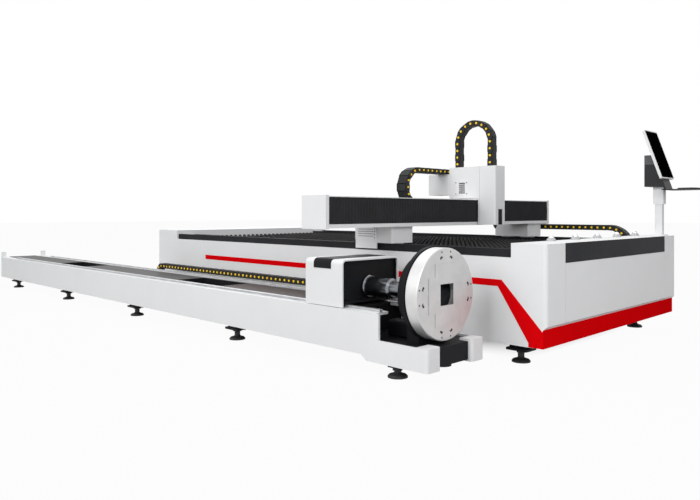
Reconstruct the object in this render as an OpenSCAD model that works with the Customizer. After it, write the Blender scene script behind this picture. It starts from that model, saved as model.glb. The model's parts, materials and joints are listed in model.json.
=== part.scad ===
// Combined sheet and tube laser cutting machine: a slatted cutting bed with a travelling gantry,
// and a long tube bed with a chuck and a travelling spindle along its near side.
// Millimetres, +Z up. X runs along the machine towards the operator's end, -Y is the tube side.
// The origin is on the floor, under the middle of the whole machine.

/* [Main bed] */
// Length of the bed from end to end
bed_l = 4850; // [4600:10:5200]
// Width of the bed over its side panels
bed_w = 2230; // [2100:10:2400]
// Height of the end covers' tops above the floor
bed_h = 800; // [790:5:850]
// Height of the side panels above the floor
side_h = 705; // [680:5:720]
// Gap between the floor and the bed
bed_clear = 140; // [120:5:180]
// Front end face, along X from the origin
bed_front_x = 3780; // [3700:5:3860]
// Near side panel's outer face, along Y from the origin
bed_near_y = -830; // [-850:5:-800]
// Thickness of the folded sheet covers
wall = 6; // [4:0.5:8]
// Length of the front cover
hood_l = 253; // [230:1:280]
// Length of the rear cover
rear_l = 395; // [330:5:450]
// Corner radius of the front cover, seen from above
hood_r = 28; // [15:1:40]
// Width of the ledge on top of a side panel
ledge_w = 45; // [40:1:60]
// Height of the rail guard above the ledge
guard_h = 55; // [45:1:57]
// Distance of the rail guard from the panel's outer face
guard_inset = 20; // [10:1:25]
// Width of each rail beam
rail_beam_w = 234; // [210:2:250]
// Wall of the rail beams and cross members
tube_wall = 12; // [8:1:16]
// Distance of the rail seat below the ledge
rail_seat_drop = 15; // [10:1:20]
// Number of cross members
cross_n = 6; // [4:1:8]
// Width of a cross member
cross_w = 100; // [80:5:140]
// Height of a cross member
cross_h = 120; // [90:5:160]

/* [Front panel and stripe] */
// Width of the front service panel
panel_w = 1739; // [1500:1:1850]
// Height of the front band above the panel
band_h = 128; // [100:1:150]
// Height of the front panel's lower edge above the floor
panel_z = 284; // [275:1:340]
// Width of the rebate behind the panel
rebate = 30; // [20:1:40]
// Gap round the panel
seam = 2; // [0.5:0.1:3]
// Height of the white front cover's lower edge above the floor
skirt_z = 262; // [240:1:270]
// Height of the stripe's lower edge above the floor
stripe_z = 513; // [470:1:560]
// Height of the stripe
stripe_h = 44; // [30:1:60]
// Thickness of the stripe
stripe_t = 2; // [1:0.5:3]
// Distance of the stripe's start from the bed's rear end
stripe_start = 974; // [700:1:1400]

/* [Slat table] */
// Distance between slats
slat_pitch = 90; // [70:1:120]
// Thickness of a slat
slat_t = 6; // [3:0.5:8]
// Height of a slat with its teeth
slat_h = 120; // [90:1:150]
// Distance between teeth
tooth_pitch = 40; // [30:1:90]
// Depth of the teeth
tooth_h = 18; // [12:1:30]
// Height of the slats' tips above the ledge
slat_rise = 33; // [20:1:38]
// Thickness of a slat carrier
carrier_t = 10; // [6:1:16]
// Gap between a slat and its notch, on each side
slat_gap = 0.3; // [0.2:0.05:0.6]

/* [Guides] */
// Width of a guide rail on the bed
rail_w = 34; // [28:1:40]
// Height of a guide rail on the bed
rail_h = 30; // [24:1:34]
// Distance of the rail's middle from the panel's outer face
rail_inset = 115; // [100:1:130]
// Running clearance between a runner and its rail
run_gap = 0.3; // [0.2:0.05:0.5]
// Width of a drive rack
rack_w = 24; // [16:1:30]

/* [Gantry] */
// Rear face of the saddles at rest, along X from the origin
gantry_x = 2130; // [1800:5:2300]
// Length of a saddle
saddle_l = 376; // [340:2:420]
// Width of a saddle
saddle_w = 249; // [220:1:260]
// Height of a saddle
saddle_h = 127; // [115:1:160]
// Clearance of the saddle above the rail guard
saddle_gap = 3; // [2:0.5:8]
// Distance that a saddle stands out from the side panel
saddle_out = 10; // [5:1:15]
// Length of a saddle's side cover
cover_l = 225; // [180:1:280]
// Thickness of a saddle's side cover
cover_t = 15; // [10:1:20]
// Distance that the side cover hangs below the saddle
cover_drop = 45; // [15:1:50]
// Depth of the beam along X
beam_d = 238; // [230:2:260]
// Height of the beam
beam_h = 222; // [210:1:235]
// Distance of the beam's back from the saddles' rear face
beam_back = 178; // [150:1:190]
// Reach of the beam past the tube axis
beam_reach = 220; // [200:5:260]
// Reach of the beam past the far side panel
beam_far = 80; // [60:5:120]
// Height of the beam's lower front lip
lip_h = 27; // [22:1:32]
// Height of the beam's upper front lip
lip_top_h = 6; // [5:1:12]
// Depth of the guide pocket in the beam's front
pocket_d = 106; // [102:1:114]
// Width of an end cap over the beam
cap_w = 30; // [22:1:45]
// Thickness of an end cap's sheet
cap_t = 5; // [3:0.5:7]
// Depth of the bellows' pleats
pleat_d = 14; // [10:1:24]
// Distance between the bellows' pleats
pleat_pitch = 30; // [24:1:50]
// Thickness of the bellows' cloth
cloth_t = 3; // [2:0.25:4]

/* [Cutting head] */
// Middle of the head at rest, along Y from the origin
head_y = 310; // [100:5:500]
// Width of the head's covers
head_w = 160; // [150:1:190]
// Height of the head's covers above the beam's lower edge
head_h = 510; // [480:2:540]
// Depth of the front cover
front_d = 160; // [150:1:190]
// Wall of the head's covers
head_wall = 5; // [3:0.5:6]
// Length of the rear drive box
rear_box_l = 240; // [200:2:280]
// Height of the rear drive box
rear_box_h = 187; // [160:1:200]
// Distance of the rear drive box's top below the cover's top
rear_box_drop = 57; // [50:1:80]
// Height of the slot in the front cover
head_slot_h = 134; // [100:1:170]
// Width of the slot in the front cover
head_slot_w = 66; // [50:1:80]
// Width of the fan grille
grille_w = 140; // [110:1:160]
// Height of the fan grille
grille_h = 124; // [100:1:150]
// Radius of the cutting head's barrel
barrel_r = 36; // [28:1:38]
// Height of the nozzle's tip above the slats
tip_h = 122; // [112:1:130]

/* [Cable chains] */
// Distance between chain links
link_pitch = 60; // [50:1:70]
// Height of a chain link
link_h = 50; // [40:1:52]
// Gap between links
link_gap = 2; // [1.5:0.1:3]
// Width of the gantry's chain
gantry_chain_w = 90; // [70:1:110]
// Height of the gantry chain's upper run above the ledge
gantry_chain_rise = 150; // [140:1:175]
// Width of the head's chain
head_chain_w = 110; // [80:1:116]
// Width of the lift chain on the head
lift_chain_w = 73; // [60:1:90]
// Distance between the lift chain's two legs
lift_chain_span = 340; // [300:2:360]
// Number of links in the lift chain
lift_links = 16; // [14:1:17]
// Width of the tube bed's chain
tube_chain_w = 75; // [60:1:80]
// Clearance between a resting chain and its tray
chain_gap = 0.9; // [0.8:0.05:0.95]
// Outer face of the far chain tray, along Y from the far side panel
tray_w = 235; // [225:1:270]

/* [Tube bed] */
// Length of the tube bed
tube_l = 7480; // [7200:10:7800]
// Width of the tube bed over its walls
tube_w = 570; // [560:2:590]
// Near end of the tube bed, along X from the origin
tube_end_x = 3470; // [3440:5:3520]
// Near face of the tube bed, along Y from the origin
tube_near_y = -1625; // [-1660:5:-1615]
// Width of each wall
tube_wall_w = 130; // [120:1:140]
// Height of the walls above the floor
tube_h = 377; // [370:1:395]
// Gap between the floor and the walls
tube_clear = 110; // [95:1:130]
// Gap between the floor and the end legs
leg_clear = 75; // [65:1:90]
// Height of the end legs above the floor
leg_h = 214; // [206:1:230]
// Length of the end legs in front of the wall
leg_l = 380; // [370:5:420]
// Corner radius of the end legs
leg_r = 22; // [10:1:40]
// Width of a tube bed rail
tube_rail_w = 30; // [24:1:36]
// Height of a tube bed rail
tube_rail_h = 18; // [14:1:20]
// Thickness of a wall's outer plate at its open end
skin_t = 16; // [10:1:20]
// Length of the wall's open end behind its step
bay_l = 300; // [200:5:320]
// Length of a hatch in the deck
hatch_l = 700; // [500:10:900]
// Distance between the hatches
hatch_pitch = 2750; // [2200:10:3000]
// Middle of the first hatch, along X from the far end
hatch_start = 2070; // [1700:10:2300]
// Height of the spine's top above the floor
spine_h = 200; // [192:1:203]
// Width of an end stop post
post_w = 50; // [35:1:60]
// Height of an end stop post above the wall
post_h = 72; // [50:1:100]

/* [Chuck] */
// Height of the tube axis above the floor
axis_z = 500; // [497:1:515]
// Distance of the chuck's front face from the tube bed's near end
chuck_back = 80; // [70:1:130]
// Diameter of the chuck
chuck_d = 568; // [540:2:574]
// Thickness of the chuck's disc
chuck_t = 91; // [80:1:94]
// Radius of the chuck's bore
bore_r = 110; // [100:1:120]
// Radius of the chuck's hollow spindle
quill_r = 160; // [145:1:165]
// Diameter of the housing's backing disc
backing_d = 580; // [576:2:594]
// Thickness of the housing's backing disc
backing_t = 25; // [22:1:50]
// Outer radius of the chuck bearing
bearing_r = 200; // [190:1:210]
// Radial clearance in the bearings
fit_gap = 0.08; // [0.05:0.01:0.1]
// Half width of the square opening between the jaws
jaw_open = 65; // [55:1:70]
// Width of a jaw
jaw_w = 224; // [200:2:240]
// Radial length of the upper and lower jaws
jaw_l = 125; // [115:1:130]
// Thickness of a jaw
jaw_t = 5; // [4:0.5:12]
// Width of a jaw's key
key_w = 40; // [30:1:50]
// Reach of a jaw's key past the jaw's grip
key_l = 50; // [40:1:55]
// Depth of a jaw's key
key_d = 20; // [14:1:26]
// Clearance round a jaw
jaw_gap = 0.5; // [0.4:0.05:0.8]
// Travel of a jaw
jaw_travel = 45; // [30:1:46]

/* [Tube carriage] */
// Rear face of the carriage at rest, along X from the origin
carriage_x = 2404; // [2300:2:2420]
// Length of the carriage's shell
carriage_l = 361; // [340:1:380]
// Width of the carriage's shell
shell_w = 552; // [540:1:556]
// Height of the shell's top above the floor
shell_top = 690; // [680:1:710]
// Thickness of the shell
shell_t = 10; // [7:0.5:14]
// Corner radius of the shell
shell_r = 32; // [20:1:45]
// Thickness of the base plate
base_t = 16; // [12:1:20]
// Radius of the spindle's shaft
shaft_r = 60; // [50:1:64]
// Radius of the spindle's flange
flange_r = 76; // [70:1:84]
// Radius of the spindle's body
spindle_r = 66; // [56:1:68]
// Radius of the spindle's nose
nose_r = 48; // [40:1:54]
// Reach of the spindle's nose in front of the shell
nose_reach = 355; // [330:1:365]
// Length of the dark cap on the shell
insert_l = 168; // [120:1:220]

/* [Operator console] */
// Middle of the console post, along X from the bed's front end
post_back = 104; // [100:1:130]
// Middle of the console post, along Y from the far side panel
post_in = 70; // [55:1:100]
// Depth of the console post
post_d = 60; // [50:1:70]
// Height of the post's collar above the floor
collar_z = 1070; // [1020:1:1110]
// Height of the console's lower face above the floor
console_z = 1221; // [1190:1:1250]
// Height of the console box
console_h = 272; // [250:1:300]
// Width of the console box
console_w = 160; // [140:1:200]
// Width of the screen
screen_w = 285; // [260:1:320]
// Length of the screen
screen_l = 447; // [400:1:500]
// Thickness of the screen
screen_t = 22; // [18:1:30]
// Backward lean of the screen in degrees
screen_lean = 19.5; // [10:0.5:25]
// Reach of the keyboard tray in front of the post
tray_reach = 334; // [300:1:360]
// Width of the keyboard tray
key_tray_w = 280; // [260:1:320]
// Thickness of the keyboard tray
key_tray_t = 6; // [3:0.5:6]

/* [Feet and ball units] */
// Radius of a foot
foot_r = 62; // [50:1:70]
// Thickness of a foot's pad
foot_t = 18; // [12:1:22]
// Radius of a foot's stem
stem_r = 22; // [14:1:26]
// Thickness of a foot's plate
foot_plate_t = 16; // [10:1:18]
// Number of ball units on the front cover
ball_n = 5; // [3:1:7]
// Distance between ball units
ball_pitch = 363; // [250:1:380]
// Radius of a ball
ball_r = 20; // [16:0.5:22]
// Clearance between a ball and its cup
ball_gap = 0.2; // [0.1:0.05:0.3]

/* [Hidden] */
$fn = 64;
eps = 1;

white = "#eceded";
dark = "#2b2c2f";
grey = "#8d9094";
steel = "#c4c7ca";
red = "#cf0a12";

bed_x1 = bed_front_x;
bed_x0 = bed_x1 - bed_l;
bed_y0 = bed_near_y;
bed_y1 = bed_y0 + bed_w;
bed_mid_y = (bed_y0 + bed_y1) / 2;
hood_x0 = bed_x1 - hood_l;
rear_x1 = bed_x0 + rear_l;
open_l = hood_x0 - rear_x1;
beam_in_y0 = bed_y0 + wall + rail_beam_w;
beam_in_y1 = bed_y1 - wall - rail_beam_w;
rail_z = side_h - rail_seat_drop;
rail_y = bed_y0 + rail_inset;
rail_margin = 36;
frame_z = bed_clear + wall;
bevel = 24;
plinth_x = bed_x1 - bevel - 0.5;
cross_top = frame_z + cross_h;
slat_top = side_h + slat_rise;
slat_z = slat_top - slat_h;
slat_margin = 10;
slat_n = floor((open_l - 4 * rail_margin) / slat_pitch) + 1;
slat_x0 = (rear_x1 + hood_x0) / 2 - (slat_n - 1) * slat_pitch / 2;

guard_top = side_h + guard_h;
saddle_z = guard_top + saddle_gap;
beam_z = saddle_z + saddle_h;
beam_top = beam_z + beam_h;
saddle_y0 = bed_y0 - saddle_out;
beam_x0 = gantry_x + beam_back;
beam_x1 = beam_x0 + beam_d;
tube_y = tube_near_y + tube_w / 2;
tube_far_y = tube_near_y + tube_w;
beam_y0 = tube_y - beam_reach;
beam_y1 = bed_y1 + beam_far;
pocket_x = beam_x1 - pocket_d;
pocket_z0 = beam_z + lip_h;
pocket_z1 = beam_top - lip_top_h;
beam_rail_w = 24;
beam_rail_h = 22;
beam_rail_z = [pocket_z0 + 43, pocket_z1 - 43];
head_neck_w = 40;
bellows_slack = 5;
pocket_gap = 0.5;

head_y0 = head_y - head_w / 2;
head_y1 = head_y + head_w / 2;
head_z = beam_z + 4;
head_top = beam_z + head_h;
head_gap = 6;
head_seam = 2;
head_x0 = beam_x1 - 296;
head_seam_x = beam_x1 + 24;
head_x1 = head_seam_x + front_d;
barrel_x = head_x1 - barrel_r - 16;
rear_box_top = head_top - rear_box_drop;
grille_x = head_x0 + 132;
grille_z = head_top - 186;
lift_r = lift_chain_span / 2;
lift_leg = (lift_links * link_pitch - PI * lift_r) / 2;
tip_z = slat_top + tip_h;

plate_t = 12;
tray_lip = 40;
sheet_t = 6;
gantry_tray_z = stripe_z - tray_lip - 28;
gantry_chain_y = bed_y1 + tray_w / 2;
gantry_run_z = side_h + gantry_chain_rise;
gantry_rest_z = gantry_tray_z + sheet_t + chain_gap + link_h / 2;
gantry_loop_r = (gantry_run_z - gantry_rest_z) / 2;
gantry_attach_x = gantry_x + 300;
gantry_run_l = 730;
gantry_rest_l = 1860;

head_link_h = link_h - 6;
head_tray_z = beam_top - 77;
head_chain_x = head_x0 - 20 - head_chain_w / 2;
head_run_z = rear_box_top + chain_gap + head_link_h / 2;
head_rest_z = head_tray_z + sheet_t + chain_gap + head_link_h / 2;
head_loop_r = (head_run_z - head_rest_z) / 2;
head_run_l = 511;
head_rest_l = 600;

tube_x0 = tube_end_x - tube_l;
tube_x1 = tube_end_x - leg_l;
tube_in_y0 = tube_near_y + tube_wall_w;
tube_in_y1 = tube_far_y - tube_wall_w;
tube_rail_y = [tube_near_y + tube_wall_w / 2, tube_far_y - tube_wall_w / 2];
tube_rail_x0 = tube_x0 + 465;
deck_t = 6;
bay_x = tube_x1 - bay_l;
tube_tray_z = tube_h - 115;
tube_tray_w = tube_chain_w + 15;
tube_run_z = tube_h + 46;
tube_rest_z = tube_tray_z + sheet_t + chain_gap + link_h / 2;
tube_loop_r = (tube_run_z - tube_rest_z) / 2;
tube_run_l = 3040;
tube_rest_l = 1640;
leg_step = 46;

base_z = tube_h + tube_rail_h + 5;
shell_z = tube_h + 4;
shell_y0 = tube_y - shell_w / 2;
shell_y1 = tube_y + shell_w / 2;
carriage_x1 = carriage_x + carriage_l;
bulkhead_x = carriage_x1 - 60;

chuck_x = tube_end_x - chuck_back;
disc_x = chuck_x - chuck_t;
backing_x = disc_x - 2 - backing_t;
housing_l = 76;
housing_x = backing_x - housing_l;
quill_x = housing_x - 20;

post_x = bed_x1 - post_back;
post_y = bed_y1 - post_in;
screen_x = post_x + 53;
screen_z = console_z + 62;
key_z = console_z - 26;

foot_x = [bed_x0 + 280, (bed_x0 + bed_x1) / 2, bed_x1 - 278];
foot_y = [bed_y0 + 168, bed_y1 - 168];
plate_z = 80;
tube_foot_pitch = (tube_l - 790) / 4;
tube_foot_x = [for (i = [0:4]) tube_end_x - 280 - i * tube_foot_pitch];

// Block between two corners.
module span(a, b) {
    translate(a) cube(b - a);
}

// Profile in (Y, Z) carried along +X.
module along_x(x0, x1) {
    translate([x0, 0, 0]) rotate([90, 0, 90]) linear_extrude(x1 - x0) children();
}

// Profile in (X, Z) carried along +Y.
module along_y(y0, y1) {
    translate([0, y1, 0]) rotate([90, 0, 0]) linear_extrude(y1 - y0) children();
}

// Profile in (X, Y) carried along +Z.
module along_z(z0, z1) {
    translate([0, 0, z0]) linear_extrude(z1 - z0) children();
}

// Round profile in (radius, X) turned about the tube axis.
module on_tube_axis() {
    translate([0, tube_y, axis_z]) rotate([0, 90, 0]) rotate_extrude() children();
}

// Rectangle between two corners, with rounded corners.
module round_rect(a, b, r) {
    translate([a.x + r, a.y]) square([b.x - a.x - 2 * r, b.y - a.y]);
    translate([a.x, a.y + r]) square([b.x - a.x, b.y - a.y - 2 * r]);
    for (x = [a.x + r, b.x - r], y = [a.y + r, b.y - r])
        translate([x, y]) circle(r);
}

// Copies a piece of the bed's near side to its far side.
module both_sides() {
    children();
    translate([0, 2 * bed_mid_y, 0]) mirror([0, 1, 0]) children();
}

// Section of a guide rail with its undercut flanks, widened by a clearance.
module rail_section(w, h, gap) {
    waist = w * 0.3;
    polygon([
        [-w / 2 - gap, 0], [w / 2 + gap, 0], [w / 2 + gap, h * 0.3], [waist + gap, h * 0.45],
        [waist + gap, h * 0.62], [w / 2 + gap, h * 0.78], [w / 2 + gap, h + gap],
        [-w / 2 - gap, h + gap], [-w / 2 - gap, h * 0.78], [-waist - gap, h * 0.62],
        [-waist - gap, h * 0.45], [-w / 2 - gap, h * 0.3]
    ]);
}

// One chain link, centred, with its length along X, height along Y and width along Z.
module chain_link(w, h) {
    l = link_pitch - link_gap;
    tip = h * 0.12;
    bevel = h * 0.27;
    bar_t = 7;
    for (z = [-w / 2, w / 2 - plate_t])
        translate([0, 0, z]) linear_extrude(plate_t) polygon([
            [-l / 2, -tip], [-l / 2 + bevel, -h / 2], [l / 2 - bevel, -h / 2], [l / 2, -tip],
            [l / 2, tip], [l / 2 - bevel, h / 2], [-l / 2 + bevel, h / 2], [-l / 2, tip]
        ]);
    for (y = [-h / 2 + 1, h / 2 - 1 - bar_t])
        translate([-l * 0.2, y, -w / 2 + plate_t - eps])
            cube([l * 0.4, bar_t, w - 2 * plate_t + 2 * eps]);
    for (z = [-w / 2 - 2, w / 2 - eps])
        translate([0, 0, z]) cylinder(r = h * 0.17, h = 2 + eps);
}

// Chain in its own plane: a run of run_l at height r, a half turn round the origin on the -X side
// and a run of rest_l at height -r, with a flat bundle of hoses inside the links.
module chain(run_l, r, rest_l, w, h) {
    turn_l = PI * r;
    n = floor((run_l + turn_l + rest_l) / link_pitch);
    tail_l = n * link_pitch - run_l - turn_l - link_gap;
    hose_t = h * 0.4;
    hose_w = w - 2 * plate_t - 2 * chain_gap;
    for (i = [0:n - 1]) {
        s = (i + 0.5) * link_pitch;
        a = min(max((s - run_l) / turn_l, 0), 1) * 180;
        along = s < run_l ? run_l - s : max(s - run_l - turn_l, 0);
        translate([along - r * sin(a), r * cos(a), 0]) rotate([0, 0, a]) chain_link(w, h);
    }
    translate([0, 0, -hose_w / 2]) linear_extrude(hose_w) {
        difference() {
            circle(r + hose_t / 2);
            circle(r - hose_t / 2);
            translate([0, -2 * r]) square([2 * r, 4 * r]);
        }
        translate([-eps, r - hose_t / 2]) square([run_l + eps, hose_t]);
        translate([-eps, -r - hose_t / 2]) square([tail_l + eps, hose_t]);
    }
}

// Sawtooth edge of a slat as points (Y, Z), from the far end back to the near end.
function slat_teeth(y0, y1, n) = [
    for (i = [n - 1:-1:0], k = [1, 0])
        [y0 + (i + 0.25 + k * 0.5) * (y1 - y0) / n, slat_top - ((i + k) % 2 == 0 ? 0 : tooth_h)]
];

// Folded edge of the bellows as points (X, Y).
function pleats(y0, y1, n, x) = [
    for (i = [0:n]) [x - (i % 2 == 0 ? 0 : pleat_d - cloth_t), y0 + (y1 - y0) * i / n]
];

function reversed(list) = [for (i = [len(list) - 1:-1:0]) list[i]];

module side_panels() {
    color(white) both_sides() along_x(bed_x0, hood_x0) polygon([
        [bed_y0, bed_clear], [bed_y0 + 60, bed_clear], [bed_y0 + 60, frame_z],
        [bed_y0 + wall, frame_z], [bed_y0 + wall, side_h - wall],
        [bed_y0 + ledge_w, side_h - wall], [bed_y0 + ledge_w, side_h], [bed_y0, side_h]
    ]);
}

module rear_cover() {
    color(white) {
        difference() {
            span([bed_x0, bed_y0 + wall, frame_z], [bed_x0 + wall, bed_y1 - wall, bed_h]);
            both_sides() span([bed_x0 - eps, bed_y0, side_h - wall],
                [bed_x0 + wall + eps, bed_y0 + ledge_w, side_h]);
        }
        difference() {
            span([bed_x0, bed_y0, side_h], [rear_x1, bed_y1, bed_h]);
            span([bed_x0 + wall, bed_y0 + wall, side_h - eps],
                [rear_x1 - wall, bed_y1 - wall, bed_h - wall]);
        }
    }
}

// Side outline of the front cover, with its slanted lower corner.
module hood_side() {
    polygon([
        [hood_x0, bed_clear], [bed_x1 - 90, bed_clear], [bed_x1 - bevel, skirt_z],
        [bed_x1, skirt_z + bevel - 2], [bed_x1, bed_h], [hood_x0, bed_h]
    ]);
}

// Plan of the front cover, with its two rounded corners, drawn in by a distance.
module hood_plan(inset) {
    r = max(hood_r - inset, 1);
    x1 = bed_x1 - inset;
    y0 = bed_y0 + inset;
    y1 = bed_y1 - inset;
    translate([hood_x0 + inset, y0]) square([x1 - r - hood_x0 - inset, y1 - y0]);
    translate([hood_x0 + inset, y0 + r]) square([x1 - hood_x0 - inset, y1 - y0 - 2 * r]);
    for (y = [y0 + r, y1 - r]) translate([x1 - r, y]) circle(r);
}

// Opening for the front panel and band, grown by a margin.
module panel_opening(x0, margin) {
    span([x0, bed_mid_y - panel_w / 2 - margin, panel_z - margin],
        [bed_x1 + eps, bed_mid_y + panel_w / 2 + margin, bed_h + eps]);
}

module front_cover() {
    frame_x = bed_x1 - 2 * wall;
    color(white) difference() {
        union() {
            intersection() {
                difference() {
                    along_z(bed_clear, bed_h) hood_plan(0);
                    along_z(bed_clear - eps, bed_h - wall) hood_plan(wall);
                }
                along_y(bed_y0 - eps, bed_y1 + eps) hood_side();
            }
            span([frame_x, bed_mid_y - panel_w / 2 - 2 * rebate, skirt_z + bevel - 3],
                [bed_x1 - wall, bed_mid_y + panel_w / 2 + 2 * rebate, bed_h - wall]);
            intersection() {
                along_z(bed_clear, bed_h) hood_plan(0);
                along_y(bed_y0, bed_y1) polygon([
                    [bed_x1 - bevel, skirt_z], [bed_x1, skirt_z + bevel - 2],
                    [bed_x1, skirt_z + bevel], [bed_x1 - bevel, skirt_z + bevel]
                ]);
            }
        }
        span([hood_x0 - eps, bed_y0 + wall, bed_clear - eps],
            [hood_x0 + wall + eps, bed_y1 - wall, frame_z]);
        panel_opening(bed_x1 - wall, seam);
        difference() {
            panel_opening(frame_x - eps, -rebate);
            span([frame_x - 2 * eps, bed_y0, bed_h - wall - rebate], [bed_x1, bed_y1, bed_h]);
        }
    }
}

module front_panel() {
    color(white) span([bed_x1 - wall, bed_mid_y - panel_w / 2, panel_z],
        [bed_x1, bed_mid_y + panel_w / 2, bed_h - band_h - seam]);
}

module front_band() {
    color(dark) span([bed_x1 - wall, bed_mid_y - panel_w / 2, bed_h - band_h],
        [bed_x1, bed_mid_y + panel_w / 2, bed_h]);
}

module plinth() {
    z0 = bed_clear + 2;
    into_corner = max(plinth_x - bed_x1 + hood_r, 0);
    inset = hood_r - sqrt(pow(hood_r - wall, 2) - pow(into_corner, 2)) + 0.3;
    color(red) {
        span([plinth_x - wall, bed_y0 + inset, z0], [plinth_x, bed_y1 - inset, skirt_z + bevel]);
        both_sides() along_y(bed_y0, bed_y0 + inset + eps) polygon([
            [bed_x1 - 88, z0], [plinth_x, z0], [plinth_x, skirt_z - 2.5]
        ]);
    }
}

module side_stripes() {
    x0 = bed_x0 + stripe_start;
    top = stripe_z + stripe_h;
    color(red) both_sides() along_y(bed_y0 - stripe_t, bed_y0) polygon([
        [x0, stripe_z], [bed_x1 - 352, stripe_z], [bed_x1 - 127, bed_clear + 30],
        [bed_x1 - 127, bed_clear + 2], [bed_x1 - 84, bed_clear + 2], [bed_x1 - 26, skirt_z - 18],
        [bed_x1 - 323, top], [x0, top]
    ]);
}

module rail_guards() {
    y = bed_y0 + guard_inset;
    inner_y = beam_in_y0 - 22;
    color(dark) both_sides() along_x(rear_x1, hood_x0) {
        polygon([
            [y, side_h], [y + wall, side_h], [y + wall, guard_top - wall], [y + 40, guard_top - wall],
            [y + 40, guard_top], [y, guard_top]
        ]);
        translate([inner_y, rail_z]) square([wall, guard_top - wall - rail_z]);
    }
}

module rail_beams() {
    color(grey) both_sides() along_x(bed_x0 + wall, hood_x0) difference() {
        translate([bed_y0 + wall, frame_z]) square([rail_beam_w, rail_z - frame_z]);
        translate([bed_y0 + wall + tube_wall, frame_z + tube_wall])
            square([rail_beam_w - 2 * tube_wall, rail_z - frame_z - 2 * tube_wall]);
    }
}

// Rectangular tube along Y, open at both ends.
module cross_tube(x, y0, y1, z, h) {
    along_y(y0, y1) difference() {
        translate([x - cross_w / 2, z]) square([cross_w, h]);
        translate([x - cross_w / 2 + tube_wall, z + tube_wall])
            square([cross_w - 2 * tube_wall, h - 2 * tube_wall]);
    }
}

module cross_members() {
    first = rear_x1 + cross_w;
    step = (hood_x0 - 2 * cross_w - rear_x1) / (cross_n - 1);
    color(grey) {
        for (i = [0:cross_n - 1])
            cross_tube(first + i * step, beam_in_y0, beam_in_y1, frame_z, cross_h);
        for (f = [0.1, 0.48, 0.8])
            cross_tube(bed_x0 + f * bed_l, tube_far_y, bed_y0, frame_z, 90);
    }
}

module slat_carriers() {
    notch_w = slat_t + 2 * slat_gap;
    top = slat_top - tooth_h - 20;
    x0 = rear_x1 + slat_margin;
    x1 = hood_x0 - slat_margin;
    comb = [
        for (i = [slat_n - 1:-1:0], k = [0:3])
            [slat_x0 + i * slat_pitch + (k < 2 ? notch_w : -notch_w) / 2,
                k == 0 || k == 3 ? top : slat_z]
    ];
    color(dark)
        for (y = [beam_in_y0 + 20, bed_mid_y - carrier_t / 2, beam_in_y1 - 20 - carrier_t])
            along_y(y, y + carrier_t)
                polygon(concat([[x0, cross_top], [x1, cross_top], [x1, top]], comb, [[x0, top]]));
}

module slats() {
    y0 = beam_in_y0 + slat_margin;
    y1 = beam_in_y1 - slat_margin;
    n = 2 * floor((y1 - y0) / tooth_pitch / 2) + 1;
    color(dark)
        for (i = [0:slat_n - 1])
            translate([slat_x0 + i * slat_pitch - slat_t / 2, 0, 0])
                along_x(0, slat_t)
                    polygon(concat([[y0, slat_z], [y1, slat_z]], slat_teeth(y0, y1, n)));
}

module guide_rails() {
    color(steel) {
        both_sides() along_x(rear_x1 + rail_margin, hood_x0 - rail_margin)
            translate([rail_y, rail_z]) rail_section(rail_w, rail_h, 0);
        for (y = tube_rail_y)
            along_x(tube_rail_x0, tube_x1 - rail_margin)
                translate([y, tube_h]) rail_section(tube_rail_w, tube_rail_h, 0);
    }
}

module drive_racks() {
    y = rail_y + rail_w / 2 + 38;
    color(steel) {
        both_sides() span([rear_x1 + rail_margin, y, rail_z],
            [hood_x0 - rail_margin, y + rack_w, rail_z + rack_w]);
        span([tube_rail_x0, tube_in_y1 + 4, tube_h],
            [tube_x1 - rail_margin, tube_in_y1 + 4 + rack_w, tube_h + rack_w / 2]);
    }
}

// Every levelling foot as [x, y, height of the plate's top].
function feet_places() = concat(
    [for (x = foot_x, y = foot_y) [x, y, frame_z]],
    [for (x = tube_foot_x, y = tube_rail_y) [x, y, x > tube_x1 - 120 ? leg_clear : tube_clear]]
);

// Height of a foot plate's lower face under a seat at height z.
function foot_seat(z) = min(plate_z, z - foot_plate_t);

module foot_plates() {
    color(dark) for (p = feet_places()) {
        z = foot_seat(p.z);
        half = p.z > plate_z ? 78 : 48;
        span([p.x - half, p.y - half * 0.8, z], [p.x + half, p.y + half * 0.8, z + foot_plate_t]);
        span([p.x - half * 0.77, p.y - half * 0.6, z + foot_plate_t - eps],
            [p.x + half * 0.77, p.y + half * 0.6, p.z]);
    }
}

module feet() {
    color(dark) for (p = feet_places())
        translate([p.x, p.y, 0]) rotate_extrude() polygon([
            [0, 0], [foot_r, 0], [foot_r, foot_t * 0.5], [foot_r - 9, foot_t],
            [stem_r + 14, foot_t + 5], [stem_r, foot_t + 13], [stem_r, foot_seat(p.z)],
            [0, foot_seat(p.z)]
        ]);
}

// Middle of each ball unit.
function ball_places() = [
    for (i = [0:ball_n - 1])
        [hood_x0 + 33, bed_mid_y + 80 + (i - (ball_n - 1) / 2) * ball_pitch, bed_h + ball_r + 1]
];

module ball_cups() {
    base_r = ball_r + 14;
    rim_r = ball_r + 2;
    color(white) for (p = ball_places())
        translate([p.x, p.y, 0]) difference() {
            translate([0, 0, bed_h]) rotate_extrude() polygon([
                [0, 0], [base_r, 0], [base_r, 5], [rim_r, ball_r + 3], [0, ball_r + 3]
            ]);
            translate([0, 0, p.z]) sphere(ball_r + ball_gap);
        }
}

module balls() {
    color(steel) for (p = ball_places()) translate(p) sphere(ball_r);
}

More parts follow.
